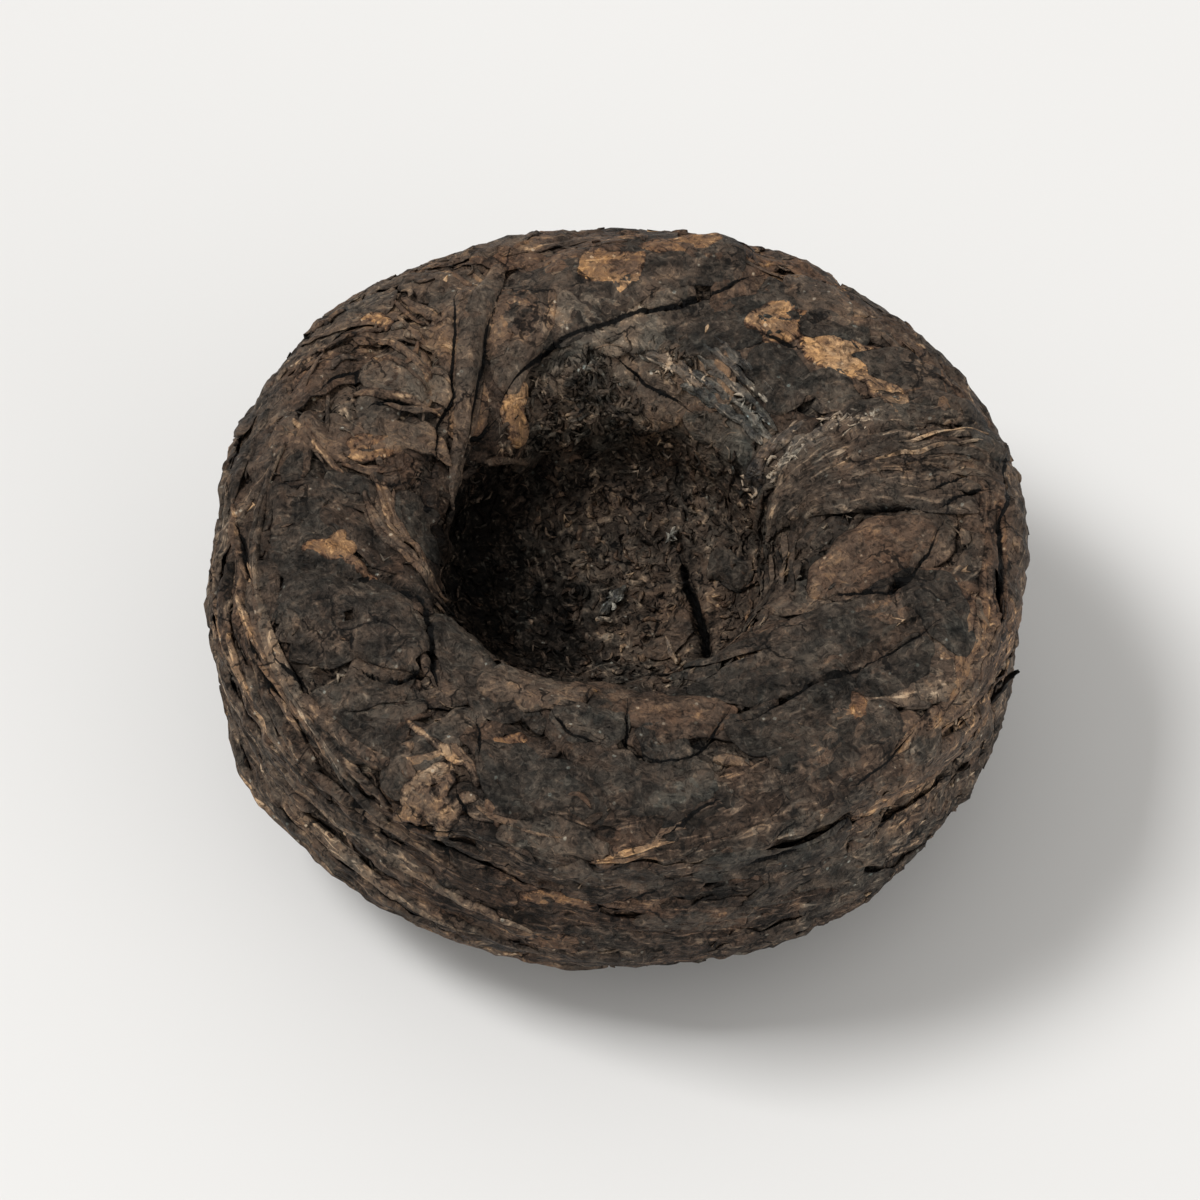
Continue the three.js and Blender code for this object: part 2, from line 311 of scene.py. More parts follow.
def crack_reach(line, angle, place):
    """How far each point lies from the nearest stretch of a crack, how far to one side of it, which is
    under nought on the other side, and the share of the full width there, which falls to the ends."""
    radius = radius_at(place)
    nearest = np.full(np.shape(angle), np.inf)
    beside = np.zeros(np.shape(angle))
    taper = np.ones(np.shape(angle))
    spots = np.array(line, float)
    round_way = turn_from(np.radians(spots[:-1, 0]), np.radians(spots[1:, 0]))
    inward = np.diff(spots[:, 1])
    stretches = np.hypot(round_way * radius_at((spots[:-1, 1] + spots[1:, 1]) / 2), inward)
    done = np.cumsum(stretches) - stretches
    for number, (start_angle, start_place) in enumerate(spots[:-1]):
        start_x = turn_from(angle, np.radians(start_angle)) * radius
        run_x = round_way[number] * radius
        run_y = inward[number]
        here_y = place - start_place
        square = run_x**2 + run_y**2
        share = np.clip((here_y * run_y - start_x * run_x) / square, 0, 1)
        distance = np.hypot(start_x + share * run_x, here_y - share * run_y)
        along = (done[number] + share * stretches[number]) / stretches.sum()
        closer = distance < nearest
        beside = np.where(closer, -(start_x * run_y + here_y * run_x) / np.sqrt(square), beside)
        to_tip = CRACK_TAPER * np.minimum(along, 1 - along)
        taper = np.where(closer, np.clip(to_tip, CRACK_TIP, 1), taper)
        nearest = np.where(closer, distance, nearest)
    return nearest, beside, taper


def nearest_crack(angle, place):
    """Distance to the nearest crack less its half width, and distance to one side of its line in half
    widths. The line wanders a little, so that it looks torn and not ruled."""
    wander = sum(size * np.sin(waves * angle + steps * place) for size, waves, steps in CRACK_WANDER)
    wander = wander * np.minimum(1, radius_at(place) / WANDER_RADIUS) ** 2
    gap = np.full(np.shape(angle), FAR_GAP)
    side = np.full(np.shape(angle), FAR_SIDE)
    for line, full_width in CRACKS:
        distance, beside, taper = crack_reach(line, angle, place + wander)
        half_width = full_width * taper
        closer = distance - half_width < gap
        gap = np.where(closer, distance - half_width, gap)
        side = np.where(closer, beside / half_width, side)
    return gap, np.clip(side, -FAR_SIDE, FAR_SIDE)


RELIEF_SHARE = 0.6
RELIEF_LIFT = 0.1
SIDE_SINK = 0.16
SIDE_END = (-2.5, 0.0)
CRACK_STEPS = [(0.2, -0.1, 0.1), (0.8, 0.05, 0.16)]   # depth, and how far inside it starts and is full


def relief(angle, place):
    """Height above the bare skin: the highest strewn plus the highest placed swelling, times a share, plus
    a small lift that is lower on the side. It fades out on the flat spot and at the hollow's floor."""
    angle, place = np.broadcast_arrays(angle, place)
    strewn = np.zeros(angle.shape)
    placed = np.zeros(angle.shape)
    for leaf in STREWN:
        strewn = np.maximum(strewn, swelling(leaf, angle, place))
    for leaf in FORM_LEAVES:
        placed = np.maximum(placed, swelling(leaf, angle, place))
    to_floor = smooth(FLOOR_PLACE - place, *PLAIN_FLOOR)
    lift = RELIEF_LIFT - SIDE_SINK * (1 - smooth(place, *SIDE_END))
    return off_rest(place) * to_floor * (lift + RELIEF_SHARE * (strewn + placed))


def crack_depth(gap):
    """Depth of a crack from the gap to its edge: a shallow groove, and a deep one within wide cracks."""
    return sum(depth * smooth(-gap, start, full) for depth, start, full in CRACK_STEPS)


# %% [markdown]
# ## Putting arrays into a mesh
# Every piece below is a set of arrays: points, four-sided and three-sided faces, and values that ride
# on the points for the materials to read. `foreach_set` hands whole arrays to Blender at once, which
# is far quicker than adding points one by one.

# %% One helper for every mesh
def make_piece(name, points, quads, triangles, finish, values, lie):
    """A mesh object from arrays, with float values per point and a flat map in millimetres."""
    corners = np.concatenate([quads.ravel(), triangles.ravel()]).astype(np.int32)
    sizes = np.concatenate([np.full(len(quads), 4), np.full(len(triangles), 3)])
    starts = np.concatenate([[0], np.cumsum(sizes)[:-1]]).astype(np.int32)
    mesh = bpy.data.meshes.new(name)
    mesh.vertices.add(len(points))
    mesh.vertices.foreach_set("co", points.astype(np.float32).ravel())
    mesh.loops.add(len(corners))
    mesh.loops.foreach_set("vertex_index", corners)
    mesh.polygons.add(len(sizes))
    mesh.polygons.foreach_set("loop_start", starts)
    mesh.update(calc_edges=True)
    mesh.polygons.foreach_set("use_smooth", np.ones(len(sizes), dtype=bool))
    for label, numbers in values.items():
        layer = mesh.attributes.new(label, "FLOAT", "POINT")
        layer.data.foreach_set("value", numbers.astype(np.float32).ravel())
    flat = mesh.uv_layers.new(name="lie")
    flat.data.foreach_set("uv", lie.reshape(-1, 2)[corners].astype(np.float32).ravel())
    mesh.materials.append(finish)
    piece = bpy.data.objects.new(name, mesh)
    bpy.context.scene.collection.objects.link(piece)
    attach(piece, "root")
    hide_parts(NODE)
    print(name, "has", len(quads) * 2 + len(triangles), "triangles")
    return piece


# %% [markdown]
# ## Shader arithmetic
# A finish is a tree of nodes, but its maths reads best as a formula. `Wire` wraps one node output, and
# adding or multiplying wires adds Math nodes. `Finish` makes every other node from its type, its
# settings and the values or wires of its sockets.

# %% Wires and finishes
class Wire:
    """One output of a node. Arithmetic on wires and numbers becomes Math nodes."""

    def __init__(self, finish, socket):
        self.finish = finish
        self.socket = socket

    def other(self, output):
        """Another output of the same node."""
        return Wire(self.finish, self.socket.node.outputs[output])

    def maths(self, operation, first, second):
        """A Math node of two wires or numbers."""
        return self.finish.node("ShaderNodeMath", {"operation": operation}, {0: first, 1: second})

    def __add__(self, other):
        """This wire plus another."""
        return self.maths("ADD", self, other)

    def __radd__(self, other):
        """A number plus this wire."""
        return self.maths("ADD", other, self)

    def __sub__(self, other):
        """This wire less another."""
        return self.maths("SUBTRACT", self, other)

    def __rsub__(self, other):
        """A number less this wire."""
        return self.maths("SUBTRACT", other, self)

    def __mul__(self, other):
        """This wire times another."""
        return self.maths("MULTIPLY", self, other)

    def __rmul__(self, other):
        """A number times this wire."""
        return self.maths("MULTIPLY", other, self)


class Finish:
    """A material and the methods that add nodes to it."""

    def __init__(self, name):
        self.material = bpy.data.materials.new(name)
        self.material.use_nodes = True
        self.tree = self.material.node_tree
        self.tree.nodes.clear()

    def node(self, kind, settings=None, inputs=None, output=0):
        """Add a node: its settings first, then its inputs, and return the wire of one output."""
        node = self.tree.nodes.new(kind)
        settings = dict(settings or {})
        stops = settings.pop("stops", [])
        for key, value in settings.items():
            setattr(node, key, value)
        for number, (position, colour) in enumerate(stops):
            ramp = node.color_ramp.elements
            stop = ramp[number] if number < 2 else ramp.new(position)
            stop.position = position
            stop.color = (*colour, 1)
        for key, value in (inputs or {}).items():
            if isinstance(value, Wire):
                self.tree.links.new(value.socket, node.inputs[key])
            else:
                node.inputs[key].default_value = value
        return Wire(self, node.outputs[output])

    def value(self, label):
        """A float that rides on the points of the piece."""
        return self.node("ShaderNodeAttribute", {"attribute_name": label}, output="Fac")

    def rise(self, value, start, stop, low=0.0, high=1.0):
        """A smooth step from low to high as a value goes from start to stop."""
        return self.node("ShaderNodeMapRange", {"interpolation_type": "SMOOTHSTEP"},
                         {0: value, 1: start, 2: stop, 3: low, 4: high})

    def noise(self, spot, scale, detail, roughness=0.6, distortion=0.0, output=0):
        """Cloudy noise about one half, read at a spot."""
        inputs = {"Vector": spot, "Scale": scale, "Detail": detail, "Roughness": roughness,
                  "Distortion": distortion}
        return self.node("ShaderNodeTexNoise", {}, inputs, output)

    def highest(self, first, *others):
        """The highest of several wires."""
        for other in others:
            first = self.node("ShaderNodeMath", {"operation": "MAXIMUM"}, {0: first, 1: other})
        return first

    def surface(self, shader):
        """Join the finished shader to the material's output."""
        end = self.tree.nodes.new("ShaderNodeOutputMaterial")
        self.tree.links.new(shader.socket, end.inputs["Surface"])
        return self.material


# %% [markdown]
# ## The finish of dry leaf
# Ripe tea dries to charcoal and dark brown, with tan fibres, pale specks and a few leaves that turn
# orange. Six values ride on every point: tone (dark to light), warm (grey to orange), rim (millimetres
# to the leaf's edge), gap (millimetres to the nearest crack), side (how far to one side of the crack's
# line) and grain (a number of its own for each leaf). Streaks are noise drawn out along the leaf through
# its flat map, so they follow its lie as real fibres do. Threads run through space in three directions.
# Clouds, pits, crumbs and specks are noise of other sizes. Rims and cracks are read as distances, so
# their dark lines stay sharp between points. The darkening in pits, hair cracks, rims and cracks is
# painted shade. A painted picture could hold all this too, but noise has no seams and no end of detail.

# %% Colours and patterns of dry leaf
COOL_STOPS = [
    (0.0, (0.0049, 0.0038, 0.0028)),
    (0.25, (0.0350, 0.0286, 0.0228)),
    (0.5, (0.0905, 0.0735, 0.0565)),
    (0.75, (0.188, 0.150, 0.112)),
    (1.0, (0.425, 0.340, 0.248)),
]
WARM_STOPS = [
    (0.0, (0.0066, 0.0038, 0.0020)),
    (0.25, (0.0455, 0.0286, 0.0196)),
    (0.5, (0.1165, 0.0735, 0.0490)),
    (0.75, (0.240, 0.150, 0.087)),
    (1.0, (0.530, 0.340, 0.190)),
]
NOISES = {
    # waves a metre, detail, roughness, distortion
    "speck": (6000.0, 3.0, 0.75, 0.0),
    "fleck": (3100.0, 2.0, 0.5, 1.4),
    "curl": (2100.0, 4.0, 0.7, 2.2),
    "blotch": (850.0, 3.0, 0.6, 0.5),
    "drift": (420.0, 2.0, 0.5, 0.5),
}
THREAD_WAYS = [(0.92, 0.38, 0.1), (-0.2, 0.9, 0.4), (0.5, -0.6, 0.62)]
THREAD_STRETCH = 0.75
THREAD_NOISE = (2.0, 0.6, 0.9)        # detail, roughness, distortion
STREAKS = (0.9, 3.8, 40.0)            # waves a millimetre along and across, and the step from leaf to leaf
STREAK_NOISE = (1.0, 2.0, 0.6, 1.2)   # scale, detail, roughness, distortion
BEND_NOISE = (1300.0, 3.0, 0.6)       # scale, detail, roughness
BEND_REACH = 0.0011
SEAM_SCALE = 620.0
DOT_SCALE = 2500.0
CRUMB_SCALE = 3300.0
MEAN_NOISE = 0.5
STEPS = {
    # where each pattern starts and is full, and, where it isn't 0 to 1, its least and most
    "streaks": (0.54, 0.70),
    "threads": (0.60, 0.72),
    "flecks": (0.57, 0.68),
    "dots": (0.20, 0.10),
    "dotted ground": (0.60, 0.75),
    "hair cracks": (0.04, 0.015),
    "cracked ground": (0.56, 0.60),
    "broad pits": (0.44, 0.34),
    "small pits": (0.41, 0.35),
    "worn rim": (0.0, 0.2),
    # painted shade along leaf rims
    "rim": (0.0, 0.06),
    "rim shade": (0.42, 0.56, 0.1, 0.9),
    # painted shade inside cracks
    "crack": (0.75, 1.25, 0.02, 1.0),
    "off the crack": (0.18, 0.3),
}
SHADE_SHARES = {"curl": 0.6, "speck": 0.14, "blotch": 0.9, "crumb": 0.12, "flecks": 0.18, "dots": 0.4}
HEAT_SHARES = {"blotch": 0.8, "drift": 1.4, "curl": 0.3, "tint": 0.5, "dots": -0.8}
RELIEF_SHARES = {"speck": 0.2, "curl": 0.9, "fleck": 0.5}
DOT_SHARES = {"speck": 0.3}
WORN_SHARES = {"curl": 1.5, "blotch": 1.2}
RIM_SHARES = {"speck": 0.06}
CRACK_SHARES = {"speck": 0.9, "curl": 1.5}
ROUGHNESS_SHARES = {"speck": 0.5}
STREAK_SHADE = 0.15
STREAK_RELIEF = 0.2
HAIR_CRACK_SHADE = 0.8
BUMP_STRENGTH = 0.9
BUMP_DISTANCE = 0.00018


# %% Noise and patterns of a finish
def plus(start, patterns, shares):
    """A start plus each named pattern times its share."""
    for label, share in shares.items():
        start = start + patterns[label] * share
    return start


def leaf_noise(finish, place, fineness):
    """Noise by name: clouds of five sizes, streaks drawn out along the leaf's flat map, and threads, the
    highest of three noises that are drawn out fourfold along one direction of space each."""
    noise = {label: finish.noise(place, *numbers) for label, numbers in NOISES.items()}
    lie = finish.node("ShaderNodeUVMap", {"uv_map": "lie"})
    along = finish.node("ShaderNodeSeparateXYZ", {}, {0: lie}, output="X")
    flat = [along, along.other("Y"), finish.value("grain")]
    drawn_out = finish.node("ShaderNodeCombineXYZ", {},
                            {number: flat[number] * waves for number, waves in enumerate(STREAKS)})
    noise["streak"] = finish.noise(drawn_out, *STREAK_NOISE)
    threads = []
    for way in THREAD_WAYS:
        run = finish.node("ShaderNodeVectorMath", {"operation": "DOT_PRODUCT"}, {0: place, 1: way},
                          output="Value")
        spot = finish.node("ShaderNodeVectorMath", {"operation": "MULTIPLY_ADD"},
                           {0: run, 1: [-THREAD_STRETCH * share for share in way], 2: place})
        threads.append(finish.noise(spot, fineness, *THREAD_NOISE))
    noise["thread"] = finish.highest(*threads)
    return noise


def leaf_patterns(finish, place, noise):
    """Patterns by name: noise less its mean, a shade and a tint for every crumb, and marks that run from
    0 to 1, which are streaks, threads, flecks, dots, hair cracks and pits."""

    def step(value, label):
        """The rise of a value over the steps of that name."""
        return finish.rise(value, *STEPS[label])

    pattern = {label: noise[label] - MEAN_NOISE for label in ("speck", "curl", "blotch", "drift", "streak")}
    bend = finish.noise(place, *BEND_NOISE, output="Color")
    bent = finish.node("ShaderNodeVectorMath", {"operation": "MULTIPLY_ADD"},
                       {0: bend, 1: (BEND_REACH,) * 3, 2: place})
    seam = finish.node("ShaderNodeTexVoronoi", {"feature": "DISTANCE_TO_EDGE"},
                       {"Vector": bent, "Scale": SEAM_SCALE})
    dot = finish.node("ShaderNodeTexVoronoi", {}, {"Vector": place, "Scale": DOT_SCALE})
    crumb = finish.node("ShaderNodeTexVoronoi", {}, {"Vector": bent, "Scale": CRUMB_SCALE}, output="Color")
    red = finish.node("ShaderNodeSeparateColor", {}, {0: crumb}, output="Red")
    pattern["crumb"] = red - MEAN_NOISE
    pattern["tint"] = red.other("Green") - MEAN_NOISE
    pattern["streaks"] = step(noise["streak"], "streaks")
    pattern["threads"] = step(noise["thread"], "threads")
    pattern["flecks"] = step(noise["fleck"], "flecks")
    dot_reach = plus(dot, pattern, DOT_SHARES)
    pattern["dots"] = step(dot_reach, "dots") * step(dot.other("Color"), "dotted ground")
    pattern["hair cracks"] = step(seam, "hair cracks") * step(noise["drift"], "cracked ground")
    pattern["pits"] = finish.highest(step(noise["curl"], "broad pits"), step(noise["fleck"], "small pits"))
    return pattern


# %% Leaf finish
def leaf_finish(name, strand_share, mat_share, pit_share, shine, roughness, worn=0.0, fineness=3900.0):
    """Colour: tone plus shares of the patterns, read through a cool and a warm ramp mixed by warmth, then
    darkened in pits, hair cracks, rims and cracks, which is painted shade. Relief: streaks, threads and
    three sizes of noise.
    A worn finish loses its tone towards a ragged rim."""
    finish = Finish(name)
    tone, warm, rim, gap, side = (finish.value(label) for label in ("tone", "warm", "rim", "gap", "side"))
    place = finish.node("ShaderNodeTexCoord", output="Object")
    noise = leaf_noise(finish, place, fineness)
    pattern = leaf_patterns(finish, place, noise)
    ragged = rim + plus(0.0, pattern, WORN_SHARES) * worn
    cover = finish.rise(ragged, *STEPS["worn rim"], low=1 - worn)
    shade = tone * cover + (pattern["streaks"] * strand_share + pattern["threads"] * mat_share)
    shade = plus(shade + pattern["streak"] * (STREAK_SHADE + strand_share), pattern, SHADE_SHARES)
    cool = finish.node("ShaderNodeValToRGB", {"stops": COOL_STOPS}, {0: shade})
    hot = finish.node("ShaderNodeValToRGB", {"stops": WARM_STOPS}, {0: shade})
    heat = plus(warm, pattern, HEAT_SHARES)
    mixed = finish.node("ShaderNodeMix", {"data_type": "RGBA", "clamp_factor": False},
                        {0: heat, 6: cool, 7: hot}, output=2)
    # painted shade: a dark line along each leaf's rim, stronger in some clouds than in others
    rim_shade = finish.rise(noise["blotch"], *STEPS["rim shade"])
    edge = finish.rise(plus(rim, pattern, RIM_SHARES), *STEPS["rim"], low=rim_shade)
    # painted shade: the inside of each crack dark, by its distance and side
    aside = finish.node("ShaderNodeMath", {"operation": "ABSOLUTE"}, {0: side})
    beside_crack = finish.rise(plus(aside, pattern, CRACK_SHARES), *STEPS["crack"])
    open_ground = finish.highest(beside_crack, finish.rise(gap, *STEPS["off the crack"]))
    # painted shade: pits and hair cracks darkened, together with the rim and crack shade
    dusk = edge * open_ground * (1 - pattern["pits"] * pit_share)
    dusk = dusk * (1 - pattern["hair cracks"] * HAIR_CRACK_SHADE)
    shadow = finish.node("ShaderNodeCombineColor", {}, {0: dusk, 1: dusk, 2: dusk})
    colour = finish.node("ShaderNodeMix", {"data_type": "RGBA", "blend_type": "MULTIPLY"},
                         {0: 1.0, 6: mixed, 7: shadow}, output=2)
    fibres = noise["streak"] * (STREAK_RELIEF + strand_share) + noise["thread"] * mat_share
    bump = finish.node("ShaderNodeBump", {}, {"Strength": BUMP_STRENGTH, "Distance": BUMP_DISTANCE,
                                              "Height": plus(fibres, noise, RELIEF_SHARES)})
    shader = finish.node("ShaderNodeBsdfPrincipled", {}, {
        "Base Color": colour, "Roughness": plus(roughness, pattern, ROUGHNESS_SHARES),
        "Specular IOR Level": shine, "Normal": bump})
    return finish.surface(shader)


# strand share, mat share, pit share, shine, roughness
LEAF = leaf_finish("pressed leaf", 0.05, 0.10, 0.5, 0.12, 0.58)
MAT_LEAF = leaf_finish("matted leaf", 0.05, 0.36, 0.92, 0.08, 0.62, fineness=2700.0)
STRAND_LEAF = leaf_finish("stranded leaf", 0.30, 0.05, 0.65, 0.12, 0.6)
SHEEN_LEAF = leaf_finish("leaf with a sheen", 0.35, 0.10, 0.75, 0.35, 0.45)
FLAKE = leaf_finish("orange flake", 0.12, 0.10, 0.5, 0.1, 0.65, worn=0.6)
print("leaf finish has", len(LEAF.node_tree.nodes), "nodes")

# %% [markdown]
# ## Where the nest is light or dark
# The mix of leaf is not the same all round. The back left and the right shoulder hold more brown and
# tan shreds, and the front is charcoal. The left and back left of the hollow lie in shadow, and that
# shade is painted on as well, almost black. A short table of soft patches shifts the tone and warmth of
# whatever lies there.

# %% Patches of tone
PATCHES = [
    # angle, place, reach round, reach along, tone, warm
    # painted shade: the left of the hollow, which lies in shadow
    (190, 9.5, 85, 6.0, -0.22, -0.10),
    # painted shade: the back left wall of the hollow, which lies in shadow
    (135, 7.5, 50, 3.0, -0.10, 0.0),
    (125, 0.5, 50, 4.5, 0.12, 0.25),
    (85, -1.0, 40, 2.5, 0.01, 0.25),
    (78, 4.0, 50, 3.5, 0.19, 0.00),
    (318, -4.0, 30, 4.0, 0.14, 0.10),
    (243, -2.2, 14, 2.2, 0.15, 0.25),
    (42, -0.5, 40, 3.0, 0.11, 0.25),
    (345, -3.5, 42, 5.0, 0.09, 0.25),
    (265, -5.0, 40, 5.5, -0.09, 0.25),
    (203, -5.0, 50, 6.0, -0.01, 0.10),
    (20, 10.5, 80, 4.0, 0.05, 0.25),
    (320, 12.4, 85, 2.6, 0.07, -0.10),
    (140, 1.5, 30, 3.0, 0.04, 0.15),
    (50, -0.9, 13, 1.4, 0.15, 0.30),
]
PATCH_EDGE = 0.6


def near(angle, middle, reach):
    """1 at an angle in degrees, falling to 0 at a reach to both sides of it."""
    return smooth(reach - np.abs((angle - middle + 180) % 360 - 180), 0, PATCH_EDGE * reach)


def patch_shift(angle, place):
    """Sums of all patches' tone and warmth at angles in degrees and places."""
    tone = 0.0
    warm = 0.0
    for middle, middle_place, reach, reach_place, tone_change, warm_change in PATCHES:
        share = near(angle, middle, reach)
        share = share * smooth(reach_place - np.abs(place - middle_place), 0, PATCH_EDGE * reach_place)
        tone = tone + tone_change * share
        warm = warm + warm_change * share
    return tone, warm


print("tone and warmth shift at the back left:", np.round(patch_shift(125.0, 0.5), 2).tolist())

# %% [markdown]
# ## The core
# Under the leaves that can be told apart lies a dense mass of broken leaf. It shows in the cracks and
# between the leaves, so it is a fine closed grid over the whole skin, a little lower than the leaves'
# tops, crumpled by a sum of plane waves and ridged along the ring. Sculpting would give the same look
# but not the same result twice.

# %% Crumpling and ridges
RING_BENDS = [(0.35, 5, 0.0), (0.2, 13, 1.0), (0.12, 29, 0.0)]   # size, waves round, phase
RING_RIDGES = [(0.6, 2.3, 0.8, 3), (0.4, 5.1, 1.7, 7)]   # share, waves inward, size and waves of a bend


def crumple(points, wavelength, seed, waves=14):
    """A rough height, mostly between -1.5 and 1.5: the sum of many sine waves of one length in scattered
    directions, divided by the square root of their count."""
    draw = np.random.default_rng(seed)
    direction = draw.normal(size=(waves, 3))
    direction /= np.linalg.norm(direction, axis=1, keepdims=True)
    phase = draw.uniform(0, 2 * np.pi, waves)
    total = np.zeros(points.shape[:-1])
    for way, start in zip(direction, phase):
        total += np.sin(points @ way * (2 * np.pi / (wavelength * MM)) + start)
    return total / np.sqrt(waves)


def strand_ridges(angle, place):
    """Ridges along the ring, 1 at a crest and 0 in a groove: shares of the bare sizes of two sines of the
    place, which is bent by sines of the angle."""
    bent = place
    for size, waves, phase in RING_BENDS:
        bent = bent + size * np.sin(waves * angle + phase)
    return sum(share * np.abs(np.sin(steps * bent + size * np.sin(waves * angle)))
               for share, steps, size, waves in RING_RIDGES)


# %% Core grid
CORE_ROUND = 480
CORE_UNDER_ROWS = 44
CORE_TOP_ROWS = 150
CORE_SPLIT = -9.5
CORE_SINK = 0.15
COARSE_WAVE = 1.1
COARSE_HEIGHT = 0.06
HOLLOW_CALM = 0.03
HOLLOW_START = (5, 8)
FINE_WAVE = 0.45
FINE_HEIGHT = 0.025
RIDGE_HEIGHT = 0.10
RIDGE_LEVEL = 0.6
RIDGE_END = (-1.5, 0.5)


def core_grid():
    """Angles and places of the core's points: even rows, wide underneath and close together above."""
    angle = np.linspace(0, 2 * np.pi, CORE_ROUND, endpoint=False)
    under = np.linspace(REST_PLACE, CORE_SPLIT, CORE_UNDER_ROWS)
    above = np.linspace(CORE_SPLIT, FLOOR_PLACE, CORE_TOP_ROWS)
    return np.meshgrid(angle, np.concatenate([under[1:], above[1:-1]]), indexing="ij")


def core_roughness(angle, place):
    """Crumpling of two wavelengths, calmer in the hollow, plus ridges along the ring on the side."""
    bare = skin(angle, place, 0.0)
    coarse = COARSE_HEIGHT - HOLLOW_CALM * smooth(place, *HOLLOW_START)
    rough = coarse * crumple(bare, COARSE_WAVE, 1) + FINE_HEIGHT * crumple(bare, FINE_WAVE, 2)
    on_side = 1 - smooth(place, *RIDGE_END)
    rough += RIDGE_HEIGHT * (strand_ridges(angle, place) - RIDGE_LEVEL) * on_side
    return rough * off_rest(place)


def closed_faces(columns, rows):
    """Faces of a grid that closes round its columns, with a fan to one more point at each end."""
    number = np.arange(columns * rows).reshape(columns, rows)
    onward = np.roll(number, -1, axis=0)
    quads = np.stack([number[:, :-1], onward[:, :-1], onward[:, 1:], number[:, 1:]], axis=-1)
    low_pole = np.full(columns, number.size)
    low_fan = np.stack([low_pole, onward[:, 0], number[:, 0]], axis=-1)
    high_fan = np.stack([low_pole + 1, number[:, -1], onward[:, -1]], axis=-1)
    return quads.reshape(-1, 4), np.concatenate([low_fan, high_fan])


# %% Core mesh
CORE_TONE = 0.25
CORE_WARM = 0.25
# painted shade: the core's dips darker and its crests lighter, by the height of the crumpling
RELIEF_PAINTED_SHADE = 0.9
CORE_RIM = 0.14
RELIEF_RIM_SHADE = 1.2
LEAST_RIM = 0.03
CORE_GRAIN = 0.5
CORE_MAP_RADIUS = 10


def core_piece():
    """The skin on the core's grid, sunk a little, roughened and cut by the cracks, with a single point
    at each pole. Crests are lighter than dips, and the deepest dips get a dark rim: painted shade."""
    angle, place = core_grid()
    rough = core_roughness(angle, place)
    gap, side = nearest_crack(angle, place)
    stand = relief(angle, place) - CORE_SINK * off_rest(place) + rough - crack_depth(gap) * off_rest(place)
    poles = np.stack([skin(0.0, REST_PLACE, 0.0), skin(0.0, FLOOR_PLACE, -CORE_SINK)])
    points = np.concatenate([skin(angle, place, stand).reshape(-1, 3), poles])
    quads, fans = closed_faces(*place.shape)

    def with_poles(numbers, at_poles=0.0):
        """One number per point of the grid, then one for each pole."""
        return np.concatenate([numbers.ravel(), [at_poles, at_poles]])

    tone, warm = (with_poles(shift) for shift in patch_shift(np.degrees(angle), place))
    height = with_poles(rough)
    values = {
        # tone and rim follow the crumpling: painted shade in the dips
        "tone": CORE_TONE + RELIEF_PAINTED_SHADE * height + tone,
        "warm": CORE_WARM + warm,
        "rim": np.clip(CORE_RIM + RELIEF_RIM_SHADE * height, LEAST_RIM, 1),
        "gap": with_poles(gap, FAR_GAP),
        "side": with_poles(side, FAR_SIDE),
        "grain": np.full(len(points), CORE_GRAIN),
    }
    lie = np.stack([with_poles(angle * CORE_MAP_RADIUS), with_poles(place)], axis=-1)
    return make_piece("leaf_core", points, quads, fans, MAT_LEAF, values, lie)


core_piece()

# %% [markdown]
# ## Leaves as flat sleeves
# A pressed leaf is thin and flat, ridged along its length and torn at its edges. Each one is a flattened
# sleeve: a cross-section of points over the top and back underneath, carried along the leaf, closing to
# a point at both ends. The sleeve is worked out flat, in millimetres along and across, then laid on the
# skin, where it follows the relief and dips into the cracks. A small tilt buries one edge under its
# neighbour and leaves the other proud. The same function makes broad leaves, narrow strips, flakes,
# fibres and crumbs, since they differ only in their numbers.

# %% Fields of a leaf
USUAL = {
    "lift": (0.02, 0.08),      # height over the relief, in millimetres
    "tone": (0.18, 0.36),      # dark to light
    "warm": (0.0, 0.8),        # grey to orange
    "dome": (0.0, 0.05),       # rise of the middle over the edges
    "ridges": (2, 6),          # how many ridges run along it
    "ridge": (0.006, 0.025),   # their height
    "tilt": (-0.08, 0.08),     # rise from one edge to the other
    "pitch": (-0.06, 0.06),    # rise from one tip to the other
    "bend": (-0.3, 0.3),       # sideways bow of the middle line
    "skew": (-0.5, 0.5),       # slant of the cross-section
    "ragged": (0.1, 0.3),      # depth of the tears, as a share of the half width
    "blunt": (3, 10),          # low for pointed tips, high for square ones
    "grain": (0, 1),           # a number of its own
}
FIELDS = ["angle", "place", "length", "width", "turn", *USUAL]


def leaf_set(count, seed, **given):
    """A table of leaves: every field given, or drawn between its usual ends, as arrays of one length."""
    draw = np.random.default_rng(seed)
    usual = {field: draw.integers(*ends, count) if field == "ridges" else draw.uniform(*ends, count)
             for field, ends in USUAL.items()}
    return {field: np.broadcast_to(np.asarray(given.get(field, usual.get(field)), float), count).copy()
            for field in FIELDS}


def table(fields, rows, seed, **given):
    """A leaf set from rows of numbers, with the rest given or drawn."""
    numbers = np.array(rows, float).T
    return leaf_set(numbers.shape[1], seed, **dict(zip(fields, numbers)), **given)


# %% Where a leaf's points lie
FLOOR_MAP = 5.5
LEAST_TURN_RADIUS = 0.8
REST_MARGIN = 0.5
FLOOR_MARGIN = 0.15
LEAST_MAP_REACH = 0.05


def through_knots(share, knots):
    """A zigzag line through knots spread evenly over shares from -1 to 1."""
    count = knots.shape[-1]
    spot = (share + 1) / 2 * (count - 1)
    return sum(knots[..., n] * np.maximum(0, 1 - np.abs(spot - n)) for n in range(count))


